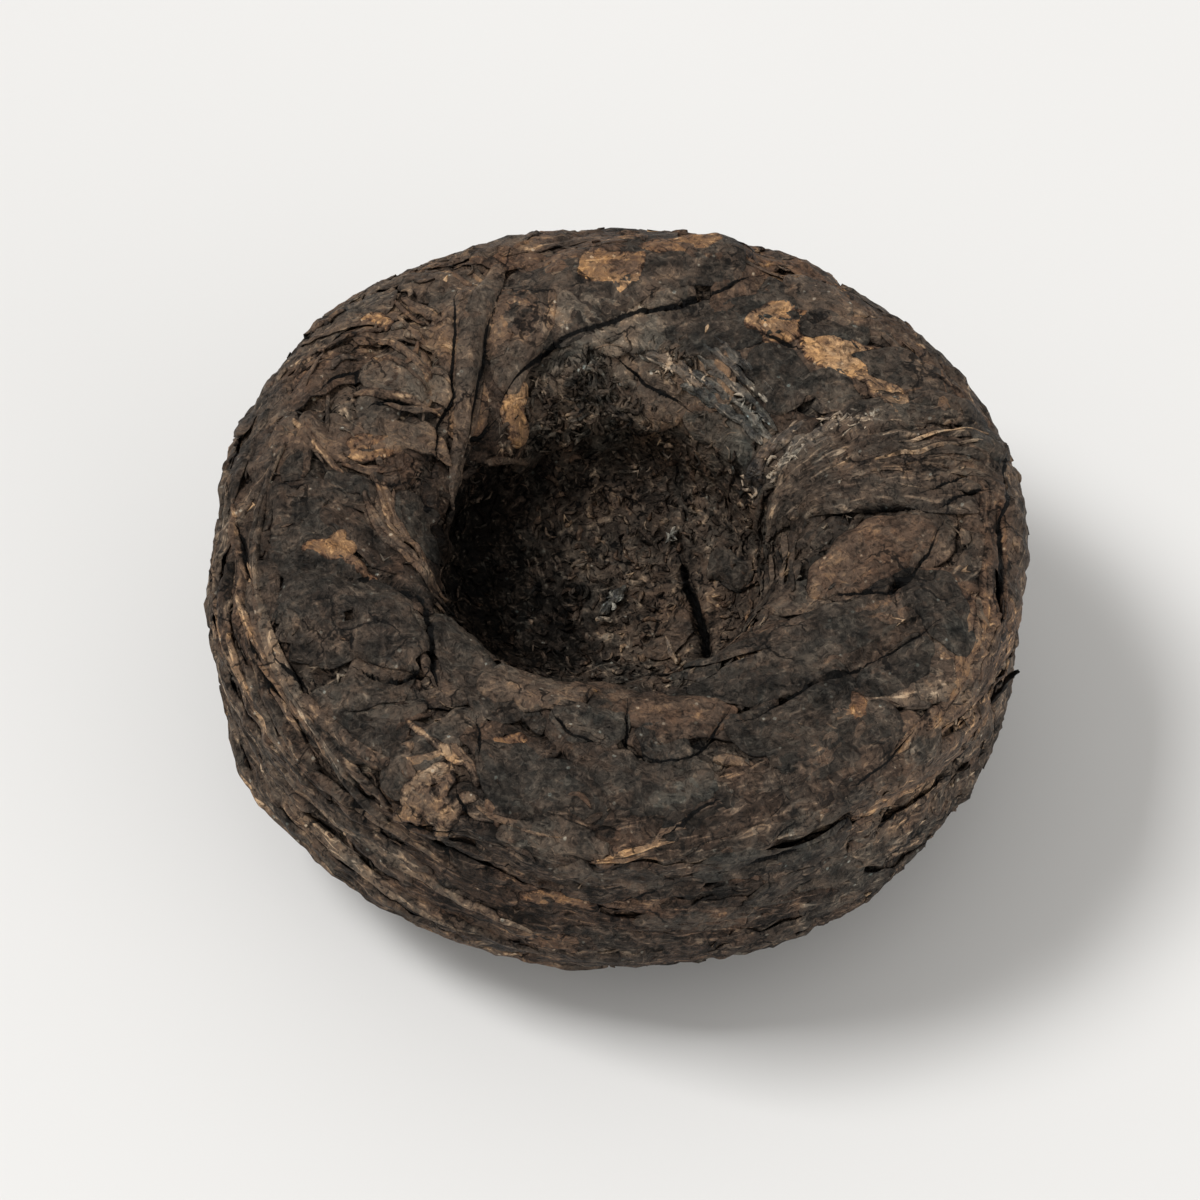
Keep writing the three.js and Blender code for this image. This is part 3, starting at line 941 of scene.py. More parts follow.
def on_skin(column, along, sideways):
    """Angle and place of flat millimetres round a leaf's middle: along the ring and inward, or, on the
    hollow's floor, on a flat map of the floor seen from above."""
    turn = np.radians(column["turn"])
    middle = np.radians(column["angle"])
    round_way = along * np.cos(turn) - sideways * np.sin(turn)
    inward = along * np.sin(turn) + sideways * np.cos(turn)
    place = np.clip(column["place"] + inward, REST_PLACE + REST_MARGIN, FLOOR_PLACE - FLOOR_MARGIN)
    angle = middle + round_way / np.maximum(radius_at(place), LEAST_TURN_RADIUS)
    to_floor = FLOOR_PLACE - column["place"]
    map_x = to_floor - inward
    floor_angle = middle + np.arctan2(round_way, map_x)
    floor_place = FLOOR_PLACE - np.maximum(np.hypot(map_x, round_way), LEAST_MAP_REACH)
    on_floor = to_floor < FLOOR_MAP
    return np.where(on_floor, floor_angle, angle), np.where(on_floor, floor_place, place)


def sleeve_faces(count, rings, around):
    """Faces of many closed sleeves: a ring of quads between neighbouring cross-sections, and a fan to
    a tip at each end. The tips are numbered after all the sleeves' points."""
    body = np.arange(count * rings * around).reshape(count, rings, around)
    turned = np.roll(body, -1, axis=2)
    quads = np.stack([body[:, :-1], turned[:, :-1], turned[:, 1:], body[:, 1:]], axis=-1)
    tip = body.size + np.arange(count * 2).reshape(count, 2, 1)
    first = np.stack(np.broadcast_arrays(tip[:, 0], turned[:, 0], body[:, 0]), axis=-1)
    last = np.stack(np.broadcast_arrays(tip[:, 1], body[:, -1], turned[:, -1]), axis=-1)
    return quads.reshape(-1, 4), np.concatenate([first.reshape(-1, 3), last.reshape(-1, 3)])


# %% Laying leaves on the skin
OUTLINE_KNOTS = 8
LAST_RING = 0.96
ROUGH_WAVES = [(1.0, 0.9, 5), (0.6, 0.42, 6)]     # share, wavelength, seed
RIDGE_WANDER = (0.2, 4, 40)                       # size, waves along, step from leaf to leaf
RIDGE_WAVES = [(1.0, 1.0, 60), (0.5, 2.3, 25)]    # share, how many for each ridge, step from leaf to leaf
BOW_LEVEL = 0.4
RIM_DROP = 0.06
RIM_ROUND = 0.14
WIDE_HALF = 0.3


def lay_leaves(name, leaves, rings, top, under, seed, finish=LEAF, thickness=0.12, rough=0.02):
    """Sleeves on the skin. Across runs from one edge over the top to the other and back below; the half
    width follows torn knots and falls to nothing at the tips; the top is lift, tilt, dome and ridges
    above the relief, and drops at the rim."""
    count = len(leaves["angle"])
    column = {field: numbers[:, None, None] for field, numbers in leaves.items()}
    over = np.sin(np.pi / 2 * np.linspace(1, -1, top))
    across = np.concatenate([over, np.linspace(-1, 1, under)[1:-1]])[None, None, :]
    is_top = (np.arange(across.size) < top)[None, None, :]
    share = np.sin(np.pi / 2 * np.linspace(-LAST_RING, LAST_RING, rings))[None, :, None]
    tears = np.random.default_rng(seed).uniform(-1, 1, (2, count, 1, 1, OUTLINE_KNOTS))
    knots = 1 + column["ragged"][..., None] * tears

    def sleeve(share, across, is_top):
        """Points, flat places, millimetres to the rim, and the nearest crack of a sleeve."""
        end = (1 - np.abs(share) ** column["blunt"]).clip(0) ** 0.5
        torn = np.where(across >= 0, through_knots(share, knots[0]), through_knots(share, knots[1]))
        half = torn * end
        sideways = across * half * column["width"] / 2 + column["bend"] * (share**2 - BOW_LEVEL)
        along = share * column["length"] / 2 + column["skew"] * across * half * column["width"] / 2
        angle, place = on_skin(column, along, sideways)
        bare = skin(angle, place, 0.0)
        size, waves, step = RIDGE_WANDER
        wobble = across + size * np.sin(waves * share + step * column["grain"])
        wave = sum(part * np.cos(many * np.pi * column["ridges"] * wobble + step * column["grain"])
                   for part, many, step in RIDGE_WAVES)
        height = column["lift"] + column["tilt"] * across + column["pitch"] * share
        height = height + column["dome"] * (1 - across**2) + column["ridge"] * wave
        height = height + rough * sum(part * crumple(bare, *kind) for part, *kind in ROUGH_WAVES)
        from_edge = (1 - np.abs(across)) * half * column["width"]
        rim = np.minimum(from_edge, (1 - np.abs(share)) * column["length"]) / 2
        gap, side = nearest_crack(angle, place)
        drop = RIM_DROP * (1 - smooth(rim, 0.0, RIM_ROUND))
        stand = relief(angle, place) - crack_depth(gap) + height - np.where(is_top, drop, thickness)
        rim = np.minimum(1.0, rim * WIDE_HALF / np.minimum(WIDE_HALF, column["width"] / 2))
        return skin(angle, place, stand), along, sideways, rim * is_top, gap, side

    points, *body = sleeve(share, across, is_top)
    tip_points, *tips = sleeve(np.array([-1.0, 1.0])[None, :, None], np.zeros((1, 1, 1)), False)
    quads, fans = sleeve_faces(count, rings, across.size)

    def on_points(numbers, tip_numbers):
        """One number per point: the sleeves' first, then the tips'."""
        return np.concatenate([np.broadcast_to(numbers, (count, rings, across.size)).ravel(),
                               np.broadcast_to(tip_numbers, (count, 2, 1)).ravel()])

    along, sideways, rim, gap, side = (on_points(*pair) for pair in zip(body, tips))
    values = {label: on_points(column[label], column[label]) for label in ("tone", "warm", "grain")}
    values |= {"rim": rim, "gap": gap, "side": side}
    all_points = np.concatenate([points.reshape(-1, 3), tip_points.reshape(-1, 3)])
    lie = np.stack([along, sideways], axis=-1)
    return make_piece(name, all_points, quads, fans, finish, values, lie)


# %% [markdown]
# ## Strewn leaves
# The top of the ring and the wall of the hollow are covered with flat pieces of leaf, charcoal to
# brown. On the side they are long and narrow and follow the ring, as the cloth wrung them, and on the
# left they stand as ridges. Short shreds fill the brown patches, and the hollow is lined with small
# curled bits. They could be dropped by a physics run, but pressed leaves lie in order: neighbours are
# nearly parallel, so their turn comes from a slow wave over the skin with a little chance added.

# %% Spreading pieces over the skin
PLACE_STEP = 0.754878
ANGLE_STEP = 0.569840
FIRST_STEPS = 1000
AREA_ROWS = 400
SIDE_LIE = (-10, 8, 3)                               # mean turn, swing, waves round
TOP_LIE = [(55, 2, 0.7, 0.6), (35, 5, -0.5, 0.0)]    # swing, waves round, waves inward, phase


def spread(count, seed, low, high):
    """Angles and places spread evenly by area between two places, by two unlike fixed steps."""
    draw = np.random.default_rng(seed)
    number = np.arange(count) + draw.uniform(0, 1, 2)[:, None] * FIRST_STEPS
    places = np.linspace(low, high, AREA_ROWS)
    area = np.cumsum(radius_at(places))
    place = np.interp((number[0] * PLACE_STEP) % 1 * area[-1], area, places)
    angle = 360 * ((number[1] * ANGLE_STEP) % 1)
    return draw, angle, place


def grain_turn(angle, place):
    """The way that leaves lie, in degrees: nearly along the ring on the side, by a mean turn plus a sine
    of the angle, and wandering on the top, by a sum of sines of angle and place."""
    way = np.radians(angle)
    mean, swing, waves = SIDE_LIE
    side = mean + swing * np.sin(waves * way)
    top = sum(swing * np.sin(waves * way + steps * place + phase) for swing, waves, steps, phase in TOP_LIE)
    on_top = smooth(place, *SIDE_END)
    return side * (1 - on_top) + top * on_top


def in_patches(leaves):
    """Shift each leaf's tone and warmth by the patches that its middle lies in."""
    tone, warm = patch_shift(leaves["angle"] % 360, leaves["place"])
    return {**leaves, "tone": leaves["tone"] + tone, "warm": leaves["warm"] + warm}


# %% Keeping cracks open
CRACK_MARGIN = 0.2
LINE_POINTS = 7


def clear_of_cracks(leaves):
    """Keep only the pieces whose middle line stays clear of every crack."""
    column = {field: numbers[:, None] for field, numbers in leaves.items()}
    along = np.linspace(-0.5, 0.5, LINE_POINTS)[None, :] * column["length"]
    angle, place = on_skin(column, along, 0 * along)
    keep = (nearest_crack(angle, place)[0] > 0.5 * column["width"] + CRACK_MARGIN).all(axis=1)
    return {field: numbers[keep] for field, numbers in leaves.items()}


# %% Flat pieces on the top and in the mouth
TOP_PLATES = 115
PLATE_SINK = 0.1
SINK_RANGE = (3.5, 6.0)
draw, angle, place = spread(TOP_PLATES, seed=11, low=-1.8, high=6.6)
plates = leaf_set(TOP_PLATES, 12, angle=angle, place=place,
                  turn=grain_turn(angle, place) + draw.normal(0, 22, TOP_PLATES),
                  length=draw.uniform(2.0, 4.6, TOP_PLATES), width=draw.uniform(0.8, 2.2, TOP_PLATES),
                  lift=draw.uniform(0.0, 0.07, TOP_PLATES) - PLATE_SINK * smooth(place, *SINK_RANGE))
lay_leaves("top_leaves", in_patches(plates), rings=30, top=16, under=4, seed=13, rough=0.04)

# %% Long pieces on the side
SIDE_STRIPS = 260
RIDGED_LEFT = (205, 50)
draw, angle, place = spread(SIDE_STRIPS, seed=21, low=-14.5, high=-1.2)
ridged = near(angle, *RIDGED_LEFT)
side = leaf_set(SIDE_STRIPS, 22, angle=angle, place=place,
                turn=grain_turn(angle, place) + draw.normal(0, 7, SIDE_STRIPS),
                length=draw.uniform(3.0, 7.0, SIDE_STRIPS),
                width=draw.uniform(0.6, 1.9, SIDE_STRIPS) * (1 - 0.5 * ridged),
                dome=0.01 + 0.02 * draw.uniform(0, 1, SIDE_STRIPS) + 0.12 * ridged,
                tone=draw.uniform(0.18, 0.34, SIDE_STRIPS) + 0.06 * ridged,
                warm=draw.uniform(0.1, 0.8, SIDE_STRIPS), ridges=draw.integers(1, 4, SIDE_STRIPS))
lay_leaves("side_leaves", in_patches(side), rings=30, top=9, under=4, seed=23, finish=STRAND_LEAF,
           rough=0.045)

# %% Short shreds between them
SHREDS = 1400
CRUMBLY_BACK_LEFT = (142, 40)
CRUMBLY_START = (-1.5, 0.0)
CRUMBLY_LIFT = 0.10
SHRED_CHANCE = 0.3
BROWN_CHANCE = 3
draw, angle, place = spread(SHREDS, seed=91, low=-13.0, high=6.6)
shreds = leaf_set(SHREDS, 92, angle=angle, place=place,
                  turn=grain_turn(angle, place) + draw.normal(0, 25, SHREDS),
                  length=draw.uniform(0.5, 2.0, SHREDS), width=draw.uniform(0.14, 0.40, SHREDS),
                  lift=draw.uniform(-0.02, 0.08, SHREDS), dome=0.03, ridges=1, ridge=0.0,
                  tone=0.20 + 0.30 * draw.uniform(0, 1, SHREDS) ** 1.7, warm=draw.uniform(0.0, 0.9, SHREDS))
brown = patch_shift(shreds["angle"], shreds["place"])[1]
crumbly = near(angle, *CRUMBLY_BACK_LEFT) * smooth(place, *CRUMBLY_START)
shreds["tone"] += draw.uniform(-0.10, 0.16, SHREDS) * crumbly
shreds["lift"] += CRUMBLY_LIFT * crumbly
kept = draw.uniform(0, 1, SHREDS) < SHRED_CHANCE + BROWN_CHANCE * brown + crumbly
shreds = {field: numbers[kept] for field, numbers in shreds.items()}
lay_leaves("shreds", in_patches(clear_of_cracks(shreds)), rings=8, top=4, under=4, seed=93, thickness=0.08)

# %% Small bits in the hollow
BITS = 750
draw, angle, place = spread(BITS, seed=111, low=4.6, high=13.2)
bits = leaf_set(BITS, 112, angle=angle, place=place, turn=draw.uniform(-90, 90, BITS),
                length=draw.uniform(0.2, 0.7, BITS), width=draw.uniform(0.1, 0.26, BITS),
                lift=draw.uniform(-0.12, 0.0, BITS), dome=0.04, ridges=1, ridge=0.0,
                tone=0.14 + 0.34 * draw.uniform(0, 1, BITS) ** 1.5, warm=draw.uniform(0.1, 0.9, BITS))
lay_leaves("hollow_bits", in_patches(clear_of_cracks(bits)), rings=5, top=4, under=3, seed=113,
           finish=MAT_LEAF, thickness=0.08)

# %% Bits on the hollow's back wall
WALL_BITS = 360
draw = np.random.default_rng(115)
wall_bits = leaf_set(WALL_BITS, 116, angle=draw.uniform(66, 130, WALL_BITS),
                     place=draw.uniform(3.4, 6.8, WALL_BITS), turn=draw.uniform(-90, 90, WALL_BITS),
                     length=draw.uniform(0.3, 0.9, WALL_BITS), width=draw.uniform(0.09, 0.22, WALL_BITS),
                     lift=draw.uniform(0.02, 0.14, WALL_BITS), dome=0.04, ridges=1, ridge=0.0,
                     tone=0.20 + 0.28 * draw.uniform(0, 1, WALL_BITS),
                     warm=draw.uniform(0.0, 0.6, WALL_BITS))
lay_leaves("wall_bits", clear_of_cracks(wall_bits), rings=5, top=4, under=3, seed=117, finish=MAT_LEAF,
           thickness=0.16)

# %% [markdown]
# ## Leaves that can be told apart
# These lie where the real nest has them, and stand a little over the strewn ones: the broad dark leaf
# along the back, the strips over the back left rim, the long strips at the front right, and the
# red-brown leaves at the front. A modeller could shape each by hand. Here each is a row of a table, so
# that one number moves, turns or darkens it.

# %% Placed leaves
PLACED_FIELDS = ["angle", "place", "length", "width", "turn", "lift", "tone", "warm", "ridges", "tilt"]
PLACED = [
    (88, 0.7, 8.6, 3.4, 23, 0.08, 0.26, 0.25, 3, 0.05),
    (62, 1.8, 4.4, 2.3, 40, 0.08, 0.23, 0.10, 3, 0.02),
    (51, -0.2, 2.6, 2.0, 14, 0.10, 0.42, 0.40, 3, 0.03),
    (44, 0.4, 2.4, 1.3, 27, 0.12, 0.24, 0.10, 2, 0.02),
    (28, -0.3, 3.0, 1.9, 8, 0.12, 0.32, 0.20, 2, 0.03),
    (32, 2.0, 2.0, 1.2, -14, 0.12, 0.33, 0.20, 3, 0.0),
    (44, 2.7, 2.8, 1.5, -21, 0.12, 0.25, 0.10, 3, 0.02),
    (15, -1.4, 2.6, 1.2, -12, 0.14, 0.20, 0.05, 1, 0.04),
    (336, -0.4, 3.2, 1.6, 33, 0.14, 0.20, 0.05, 2, 0.03),
    (322, 2.7, 7.4, 1.1, -33, 0.12, 0.24, 0.20, 2, 0.03),
    (318, 1.9, 7.2, 1.1, -24, 0.12, 0.22, 0.10, 2, 0.03),
    (305, 2.1, 4.6, 1.4, -24, 0.11, 0.22, 0.15, 2, 0.02),
    (304, 0.5, 4.6, 1.9, -6, 0.10, 0.20, 0.10, 3, 0.02),
    (306, -1.0, 4.6, 1.6, -9, 0.10, 0.22, 0.15, 3, 0.02),
    (322, -0.3, 3.0, 1.4, -5, 0.12, 0.21, 0.10, 2, 0.02),
    (285, 2.2, 3.4, 2.1, -35, 0.12, 0.33, 0.95, 3, 0.03),
    (266, 1.9, 2.6, 2.0, -21, 0.13, 0.29, 0.05, 3, 0.03),
    (253, 3.2, 3.6, 1.9, -2, 0.13, 0.46, 0.50, 3, -0.03),
    (237, 3.2, 5.4, 2.0, -27, 0.10, 0.25, 0.15, 3, -0.02),
    (214, 2.0, 3.8, 2.5, -36, 0.15, 0.24, 0.15, 2, 0.05),
    (194, 0.8, 5.2, 2.8, 0, 0.08, 0.22, 0.10, 3, 0.02),
    (258, -0.7, 4.4, 2.0, -2, 0.09, 0.21, 0.10, 3, 0.02),
    (275, -0.5, 3.6, 2.0, -22, 0.11, 0.26, 0.20, 3, 0.02),
    (178, 4.9, 2.6, 1.7, 34, 0.14, 0.21, 0.05, 1, 0.02),
    (155, 3.5, 2.9, 1.3, -55, 0.13, 0.46, 0.70, 4, 0.03),
    (142, 2.4, 3.2, 1.6, -46, 0.11, 0.54, 0.40, 4, 0.02),
    (112, 3.4, 3.0, 1.2, 40, 0.13, 0.38, 0.50, 2, 0.02),
    (104, 2.7, 1.9, 0.35, 63, 0.18, 0.48, 0.60, 1, 0.0),
    (343, 11.4, 2.4, 1.1, -9, 0.03, 0.32, 0.50, 3, 0.0),
    (17, 9.0, 2.2, 1.3, 20, 0.02, 0.24, 0.20, 3, 0.0),
    (292, -3.9, 5.4, 1.9, -8, 0.12, 0.25, 0.05, 3, 0.03),
    (297, -6.2, 4.4, 1.8, -8, 0.12, 0.25, 0.05, 3, 0.03),
    (281, -6.6, 4.2, 1.7, -7, 0.10, 0.28, 0.25, 3, 0.02),
    (269, -3.8, 3.6, 1.6, -7, 0.10, 0.30, 0.35, 3, 0.02),
    (261, -2.3, 3.6, 1.0, -2, 0.12, 0.36, 0.40, 2, 0.03),
    (280, -0.9, 2.3, 0.8, 8, 0.11, 0.34, -0.15, 2, 0.0),
    (265, 1.5, 1.4, 0.3, -29, 0.20, 0.46, 0.10, 1, 0.0),
]
PLACED += [(124 + 5 * n, 2.9 + 0.55 * n, 7.4 - 0.6 * n, 0.75, 50 - 5 * n, 0.15, 0.40 - 0.02 * n, 0.4,
            1, 0.0) for n in range(4)]
PLACED += [(347 - 1.5 * n, 4.5 + 0.38 * n, 3.4, 0.24, 14, 0.1, 0.26 + 0.16 * (n % 2), 0.35, 1, 0.0)
           for n in range(6)]
PLACED += [(180 + 4 * n, 4.0 + 0.45 * (n % 2) - 0.1 * n, 4.4, 0.30, 28, 0.12, 0.36 + 0.08 * (n % 2), 0.8,
            1, 0.0) for n in range(4)]
placed_leaves = table(PLACED_FIELDS, PLACED, 31, dome=0.02, ragged=0.3)
lay_leaves("placed_leaves", placed_leaves, rings=58, top=26, under=4, seed=32)

# %% Red-brown pointed leaf
RED_LEAF = [(345.7, 2.0, 4.3, 2.35, -42, 0.12, 0.40, 1.0, 3, 0.03)]
red_leaf = table(PLACED_FIELDS, RED_LEAF, 33, dome=0.0, ragged=0.35, blunt=1.5)
lay_leaves("red_leaf", red_leaf, rings=58, top=26, under=4, seed=34)

# %% [markdown]
# ## Ridges, flap and folds
# On the left of the side the strips were squeezed into thick ridges. At the right a flap of long leaf
# curls over the rim into the hollow, ridged like cloth, with two tan stems on it. Damp leaf dries with
# a sheen where it was folded, so the folds on the back wall and on the flap have a smoother finish. Their
# pale and blue-grey tones are painted sheen, and short pale pieces along their crests are painted glints.
# Bump alone would lose these crests at a low angle, so they are narrow domed sleeves.

# %% Ridges on the left
RIDGE_FIELDS = ["angle", "place", "length", "width", "turn", "tone", "warm"]
RIDGES = [(182 + 13 * (n % 4) + 1.6 * n, -0.9 - 0.48 * n, 5.5 + 2 * (n % 3), 0.42 + 0.12 * (n % 3), -11,
           0.29 + 0.13 * (n % 3), 0.4 + 0.2 * (n % 2)) for n in range(22)]
left_ridges = table(RIDGE_FIELDS, RIDGES, 101, dome=0.14, ridges=1, ridge=0.02, lift=0.08, tilt=0.0,
                    pitch=0.0, skew=0.0, ragged=0.35, blunt=1.6)
lay_leaves("left_ridges", left_ridges, rings=50, top=9, under=4, seed=102, finish=STRAND_LEAF,
           thickness=0.3, rough=0.03)

# %% Flap of ridges
FLAP_FIELDS = ["angle", "place", "length", "width", "turn", "bend", "lift", "tone", "warm", "ridges"]
FLAP = [(17 - 3.3 * n, 2.5 - 0.15 * n, 7.4 - 0.4 * n, 1.05, 96 - 3 * n, 1.5 - 0.24 * n, 0.1,
         (0.40, 0.31, 0.37, 0.31, 0.35, 0.31)[n], 0.35, 2) for n in range(6)]
FLAP += [
    (10.0, 0.5, 3.0, 0.20, 91, 0.1, 0.20, 0.74, 0.6, 1),
    (12.9, -0.1, 2.8, 0.18, 93, 0.1, 0.20, 0.66, 0.6, 1),
    (5.2, 1.3, 1.8, 0.16, 70, 0.1, 0.19, 0.50, 0.4, 1),
    (7.5, 0.2, 2.4, 0.12, 84, 0.1, 0.18, 0.46, 0.4, 1),
]
flap = table(FLAP_FIELDS, FLAP, 41, dome=0.06, ridge=0.03, tilt=0.02, pitch=0.0, skew=0.0, ragged=0.3,
             blunt=2.0)
lay_leaves("flap_ridges", flap, rings=56, top=13, under=4, seed=42, finish=STRAND_LEAF, rough=0.035)

# %% Folds with a sheen
FOLD_FIELDS = ["angle", "place", "length", "width", "turn", "bend", "tone", "warm"]
FOLDS = [
    # rows with warmth below nought are blue-grey painted sheen, and the pale tan rows at 71 and 64 degrees
    # are painted sheen too
    (45, 4.55, 2.8, 0.34, -2, 0.0, 0.36, -0.12),
    (45, 4.2, 3.1, 0.32, -4, 0.0, 0.52, -0.20),
    (45, 3.85, 3.0, 0.32, -6, 0.0, 0.38, -0.12),
    (46, 3.5, 2.5, 0.28, -6, 0.0, 0.50, -0.20),
    (47, 3.15, 2.0, 0.26, -8, 0.0, 0.36, -0.12),
    (71, 3.95, 1.9, 0.42, -8, 0.0, 0.52, 0.40),
    (64, 4.2, 1.8, 0.40, -17, 0.0, 0.56, 0.35),
    (27.8, 4.7, 3.2, 0.8, 103, 0.4, 0.40, 0.55),
    (22.4, 3.7, 2.9, 0.55, 100, 0.2, 0.54, 0.30),
    (21.3, 2.1, 1.7, 0.36, 57, 0.1, 0.58, 0.20),
    (19.6, 3.9, 2.6, 0.36, 100, 0.3, 0.40, 0.40),
    (73, 12.8, 1.4, 0.45, 68, 0.0, 0.42, -0.20),
    (85, 13.7, 0.6, 0.25, -3, 0.0, 0.85, 0.20),
    (326, 11.0, 1.5, 0.24, 50, 0.0, 0.56, 0.35),
    (57, 3.3, 2.2, 0.34, -12, 0.0, 0.30, -0.15),
    (57, 2.95, 1.8, 0.34, -14, 0.0, 0.24, -0.15),
    (59, 4.5, 1.6, 0.40, -2, 0.0, 0.48, -0.35),
    (57, 3.7, 2.0, 0.34, -13, 0.0, 0.40, -0.20),
    (57, 4.1, 1.8, 0.34, -10, 0.0, 0.34, -0.20),
]
folds = table(FOLD_FIELDS, FOLDS, 51, dome=0.06, lift=0.10, ridges=2, ridge=0.03, tilt=0.0, ragged=0.5,
              blunt=2.2)
lay_leaves("sheen_folds", folds, rings=36, top=11, under=4, seed=52, finish=SHEEN_LEAF, rough=0.05)

# %% Pale glints along the folds
# each glint is a pale piece standing for a highlight: painted glints, cool ones low in the hollow
GLINT_LINES = [
    # points of angle and place, how many, warm
    ([(21.1, 4.8), (22.0, 4.2), (22.6, 3.4), (23.6, 2.6), (20.3, 1.9), (19.7, 1.6)], 80, 0.0),
    ([(24.0, 6.1), (28.7, 5.3), (30.4, 4.6), (29.3, 3.4)], 14, 0.4),
    ([(48.0, 4.1), (39.0, 4.1)], 8, -0.2),
    ([(73.0, 3.9), (70.4, 4.0), (65.6, 4.15), (59.0, 4.4)], 13, 0.3),
    ([(58.0, 9.5), (50.0, 10.2)], 4, -0.3),
    ([(78.0, 12.4), (62.0, 13.0)], 5, -0.3),
]
GLINT_RANGES = {"length": (0.2, 0.5), "width": (0.07, 0.16), "tone": (0.6, 1.1)}
GLINT_STRAY = {"angle": 1.1, "place": 0.16, "turn": 25}
LINE_END = 1.001   # just over one stretch, so that no spot falls past the last one


def glint_rows(draw, line, count, warm):
    """Random spots along a line, each with the line's own turn there, a size, a tone and a warmth."""
    spots = np.array(line, float)
    share = draw.uniform(0, len(line) - LINE_END, count)
    number = np.arange(len(line))
    angle = np.interp(share, number, spots[:, 0]) + draw.normal(0, GLINT_STRAY["angle"], count)
    place = np.interp(share, number, spots[:, 1]) + draw.normal(0, GLINT_STRAY["place"], count)
    step = np.diff(spots, axis=0)[share.astype(int)]
    turn = np.degrees(np.arctan2(step[:, 1], np.radians(step[:, 0]) * radius_at(place)))
    length, width = (draw.uniform(*GLINT_RANGES[field], count) for field in ("length", "width"))
    turn = turn + draw.normal(0, GLINT_STRAY["turn"], count)
    tone = draw.uniform(*GLINT_RANGES["tone"], count)
    return np.column_stack([angle, place, length, width, turn, tone, np.full(count, warm)])


draw = np.random.default_rng(121)
GLINT_FIELDS = ["angle", "place", "length", "width", "turn", "tone", "warm"]
glint_table = np.concatenate([glint_rows(draw, *row) for row in GLINT_LINES])
glints = table(GLINT_FIELDS, glint_table, 122, lift=0.17, dome=0.03, ridges=1, ridge=0.0, tilt=0.0)
lay_leaves("pale_glints", glints, rings=5, top=4, under=3, seed=123, finish=SHEEN_LEAF, thickness=0.24)

# %% [markdown]
# ## Golden strands
# Buds and the veins of young leaves stay golden. They show as thin strands over the back left, along
# the left of the side, on the lip of the hollow and at the front. Hair curves would do, but a strand
# is flat and torn like any leaf, so the same sleeves serve, only narrower.

# %% Golden strands
STRAND_FIELDS = ["angle", "place", "length", "width", "turn", "lift", "tone", "warm"]
STRANDS = [
    (138, 1.7, 2.4, 0.34, -79, 0.19, 0.52, 0.85),
    (128, 1, 2.3, 0.32, -69, 0.19, 0.48, 0.95),
    (132, 1.7, 2.2, 0.30, -68, 0.19, 0.54, 0.85),
    (136, 2.6, 1.8, 0.28, -73, 0.19, 0.50, 0.80),
    (141, 2.1, 2, 0.22, -76, 0.19, 0.42, 0.90),
    (148, 2.6, 2.9, 0.30, -58, 0.19, 0.46, 1.00),
    (147, 3.1, 2, 0.26, -48, 0.19, 0.48, 1.00),
    (167, 1, 2.5, 0.30, 52, 0.12, 0.40, 1.00),
    (167, 2.9, 2.1, 0.26, -68, 0.12, 0.36, 1.00),
    (202, -1.9, 3, 0.30, 1, 0.20, 0.54, 0.85),
    (205, -3, 2.6, 0.30, -10, 0.20, 0.56, 0.80),
    (212, -2.2, 2.9, 0.26, -5, 0.20, 0.52, 0.90),
    (216, -2.6, 2.5, 0.28, -9, 0.20, 0.50, 0.85),
    (198, -1.4, 3.2, 0.26, -4, 0.20, 0.48, 0.90),
    (221, -2.4, 2.6, 0.24, -14, 0.20, 0.48, 0.90),
    (186, -1.7, 3.4, 0.30, 7, 0.20, 0.44, 0.90),
    (180, 4.3, 2.7, 0.34, 27, 0.12, 0.46, 0.95),
    (188, 4.6, 2.3, 0.28, 30, 0.12, 0.50, 0.90),
    (194, 5.1, 2.4, 0.30, 43, 0.12, 0.42, 0.90),
    (198, 4.3, 2.4, 0.26, 33, 0.16, 0.54, 0.95),
    (199, 4.7, 2.0, 0.20, 36, 0.16, 0.50, 0.90),
    (177, 3.6, 2.9, 0.24, 23, 0.14, 0.46, 0.95),
    (256, -2.1, 2.9, 0.30, -6, 0.15, 0.52, 0.90),
    (273, -2.4, 2.3, 0.26, 12, 0.16, 0.66, 1.10),
    (270, -2.7, 1.6, 0.20, 5, 0.16, 0.60, 1.00),
    (277, -2.0, 1.2, 0.22, 24, 0.16, 0.58, 1.00),
]
strands = table(STRAND_FIELDS, STRANDS, 131, dome=0.05, ridges=2, ridge=0.02, tilt=0.0, pitch=0.0,
                skew=0.0, ragged=0.45, blunt=1.8)
lay_leaves("golden_strands", strands, rings=32, top=7, under=3, seed=132, finish=STRAND_LEAF,
           thickness=0.3, rough=0.04)

# %% [markdown]
# ## Flakes, fibres and crumbs
# Some leaves dry orange, and their flakes are worn at the rim. The finest pieces give the skin its
# grain: hundreds of fibres a tenth of a millimetre wide that lie with the leaves, crumbs, small knobs
# of broken leaf on the shoulder, and a few leaves that stand off the side. Particles could scatter
# them, but then their shapes would not follow the skin. They are the same sleeves with very few faces.

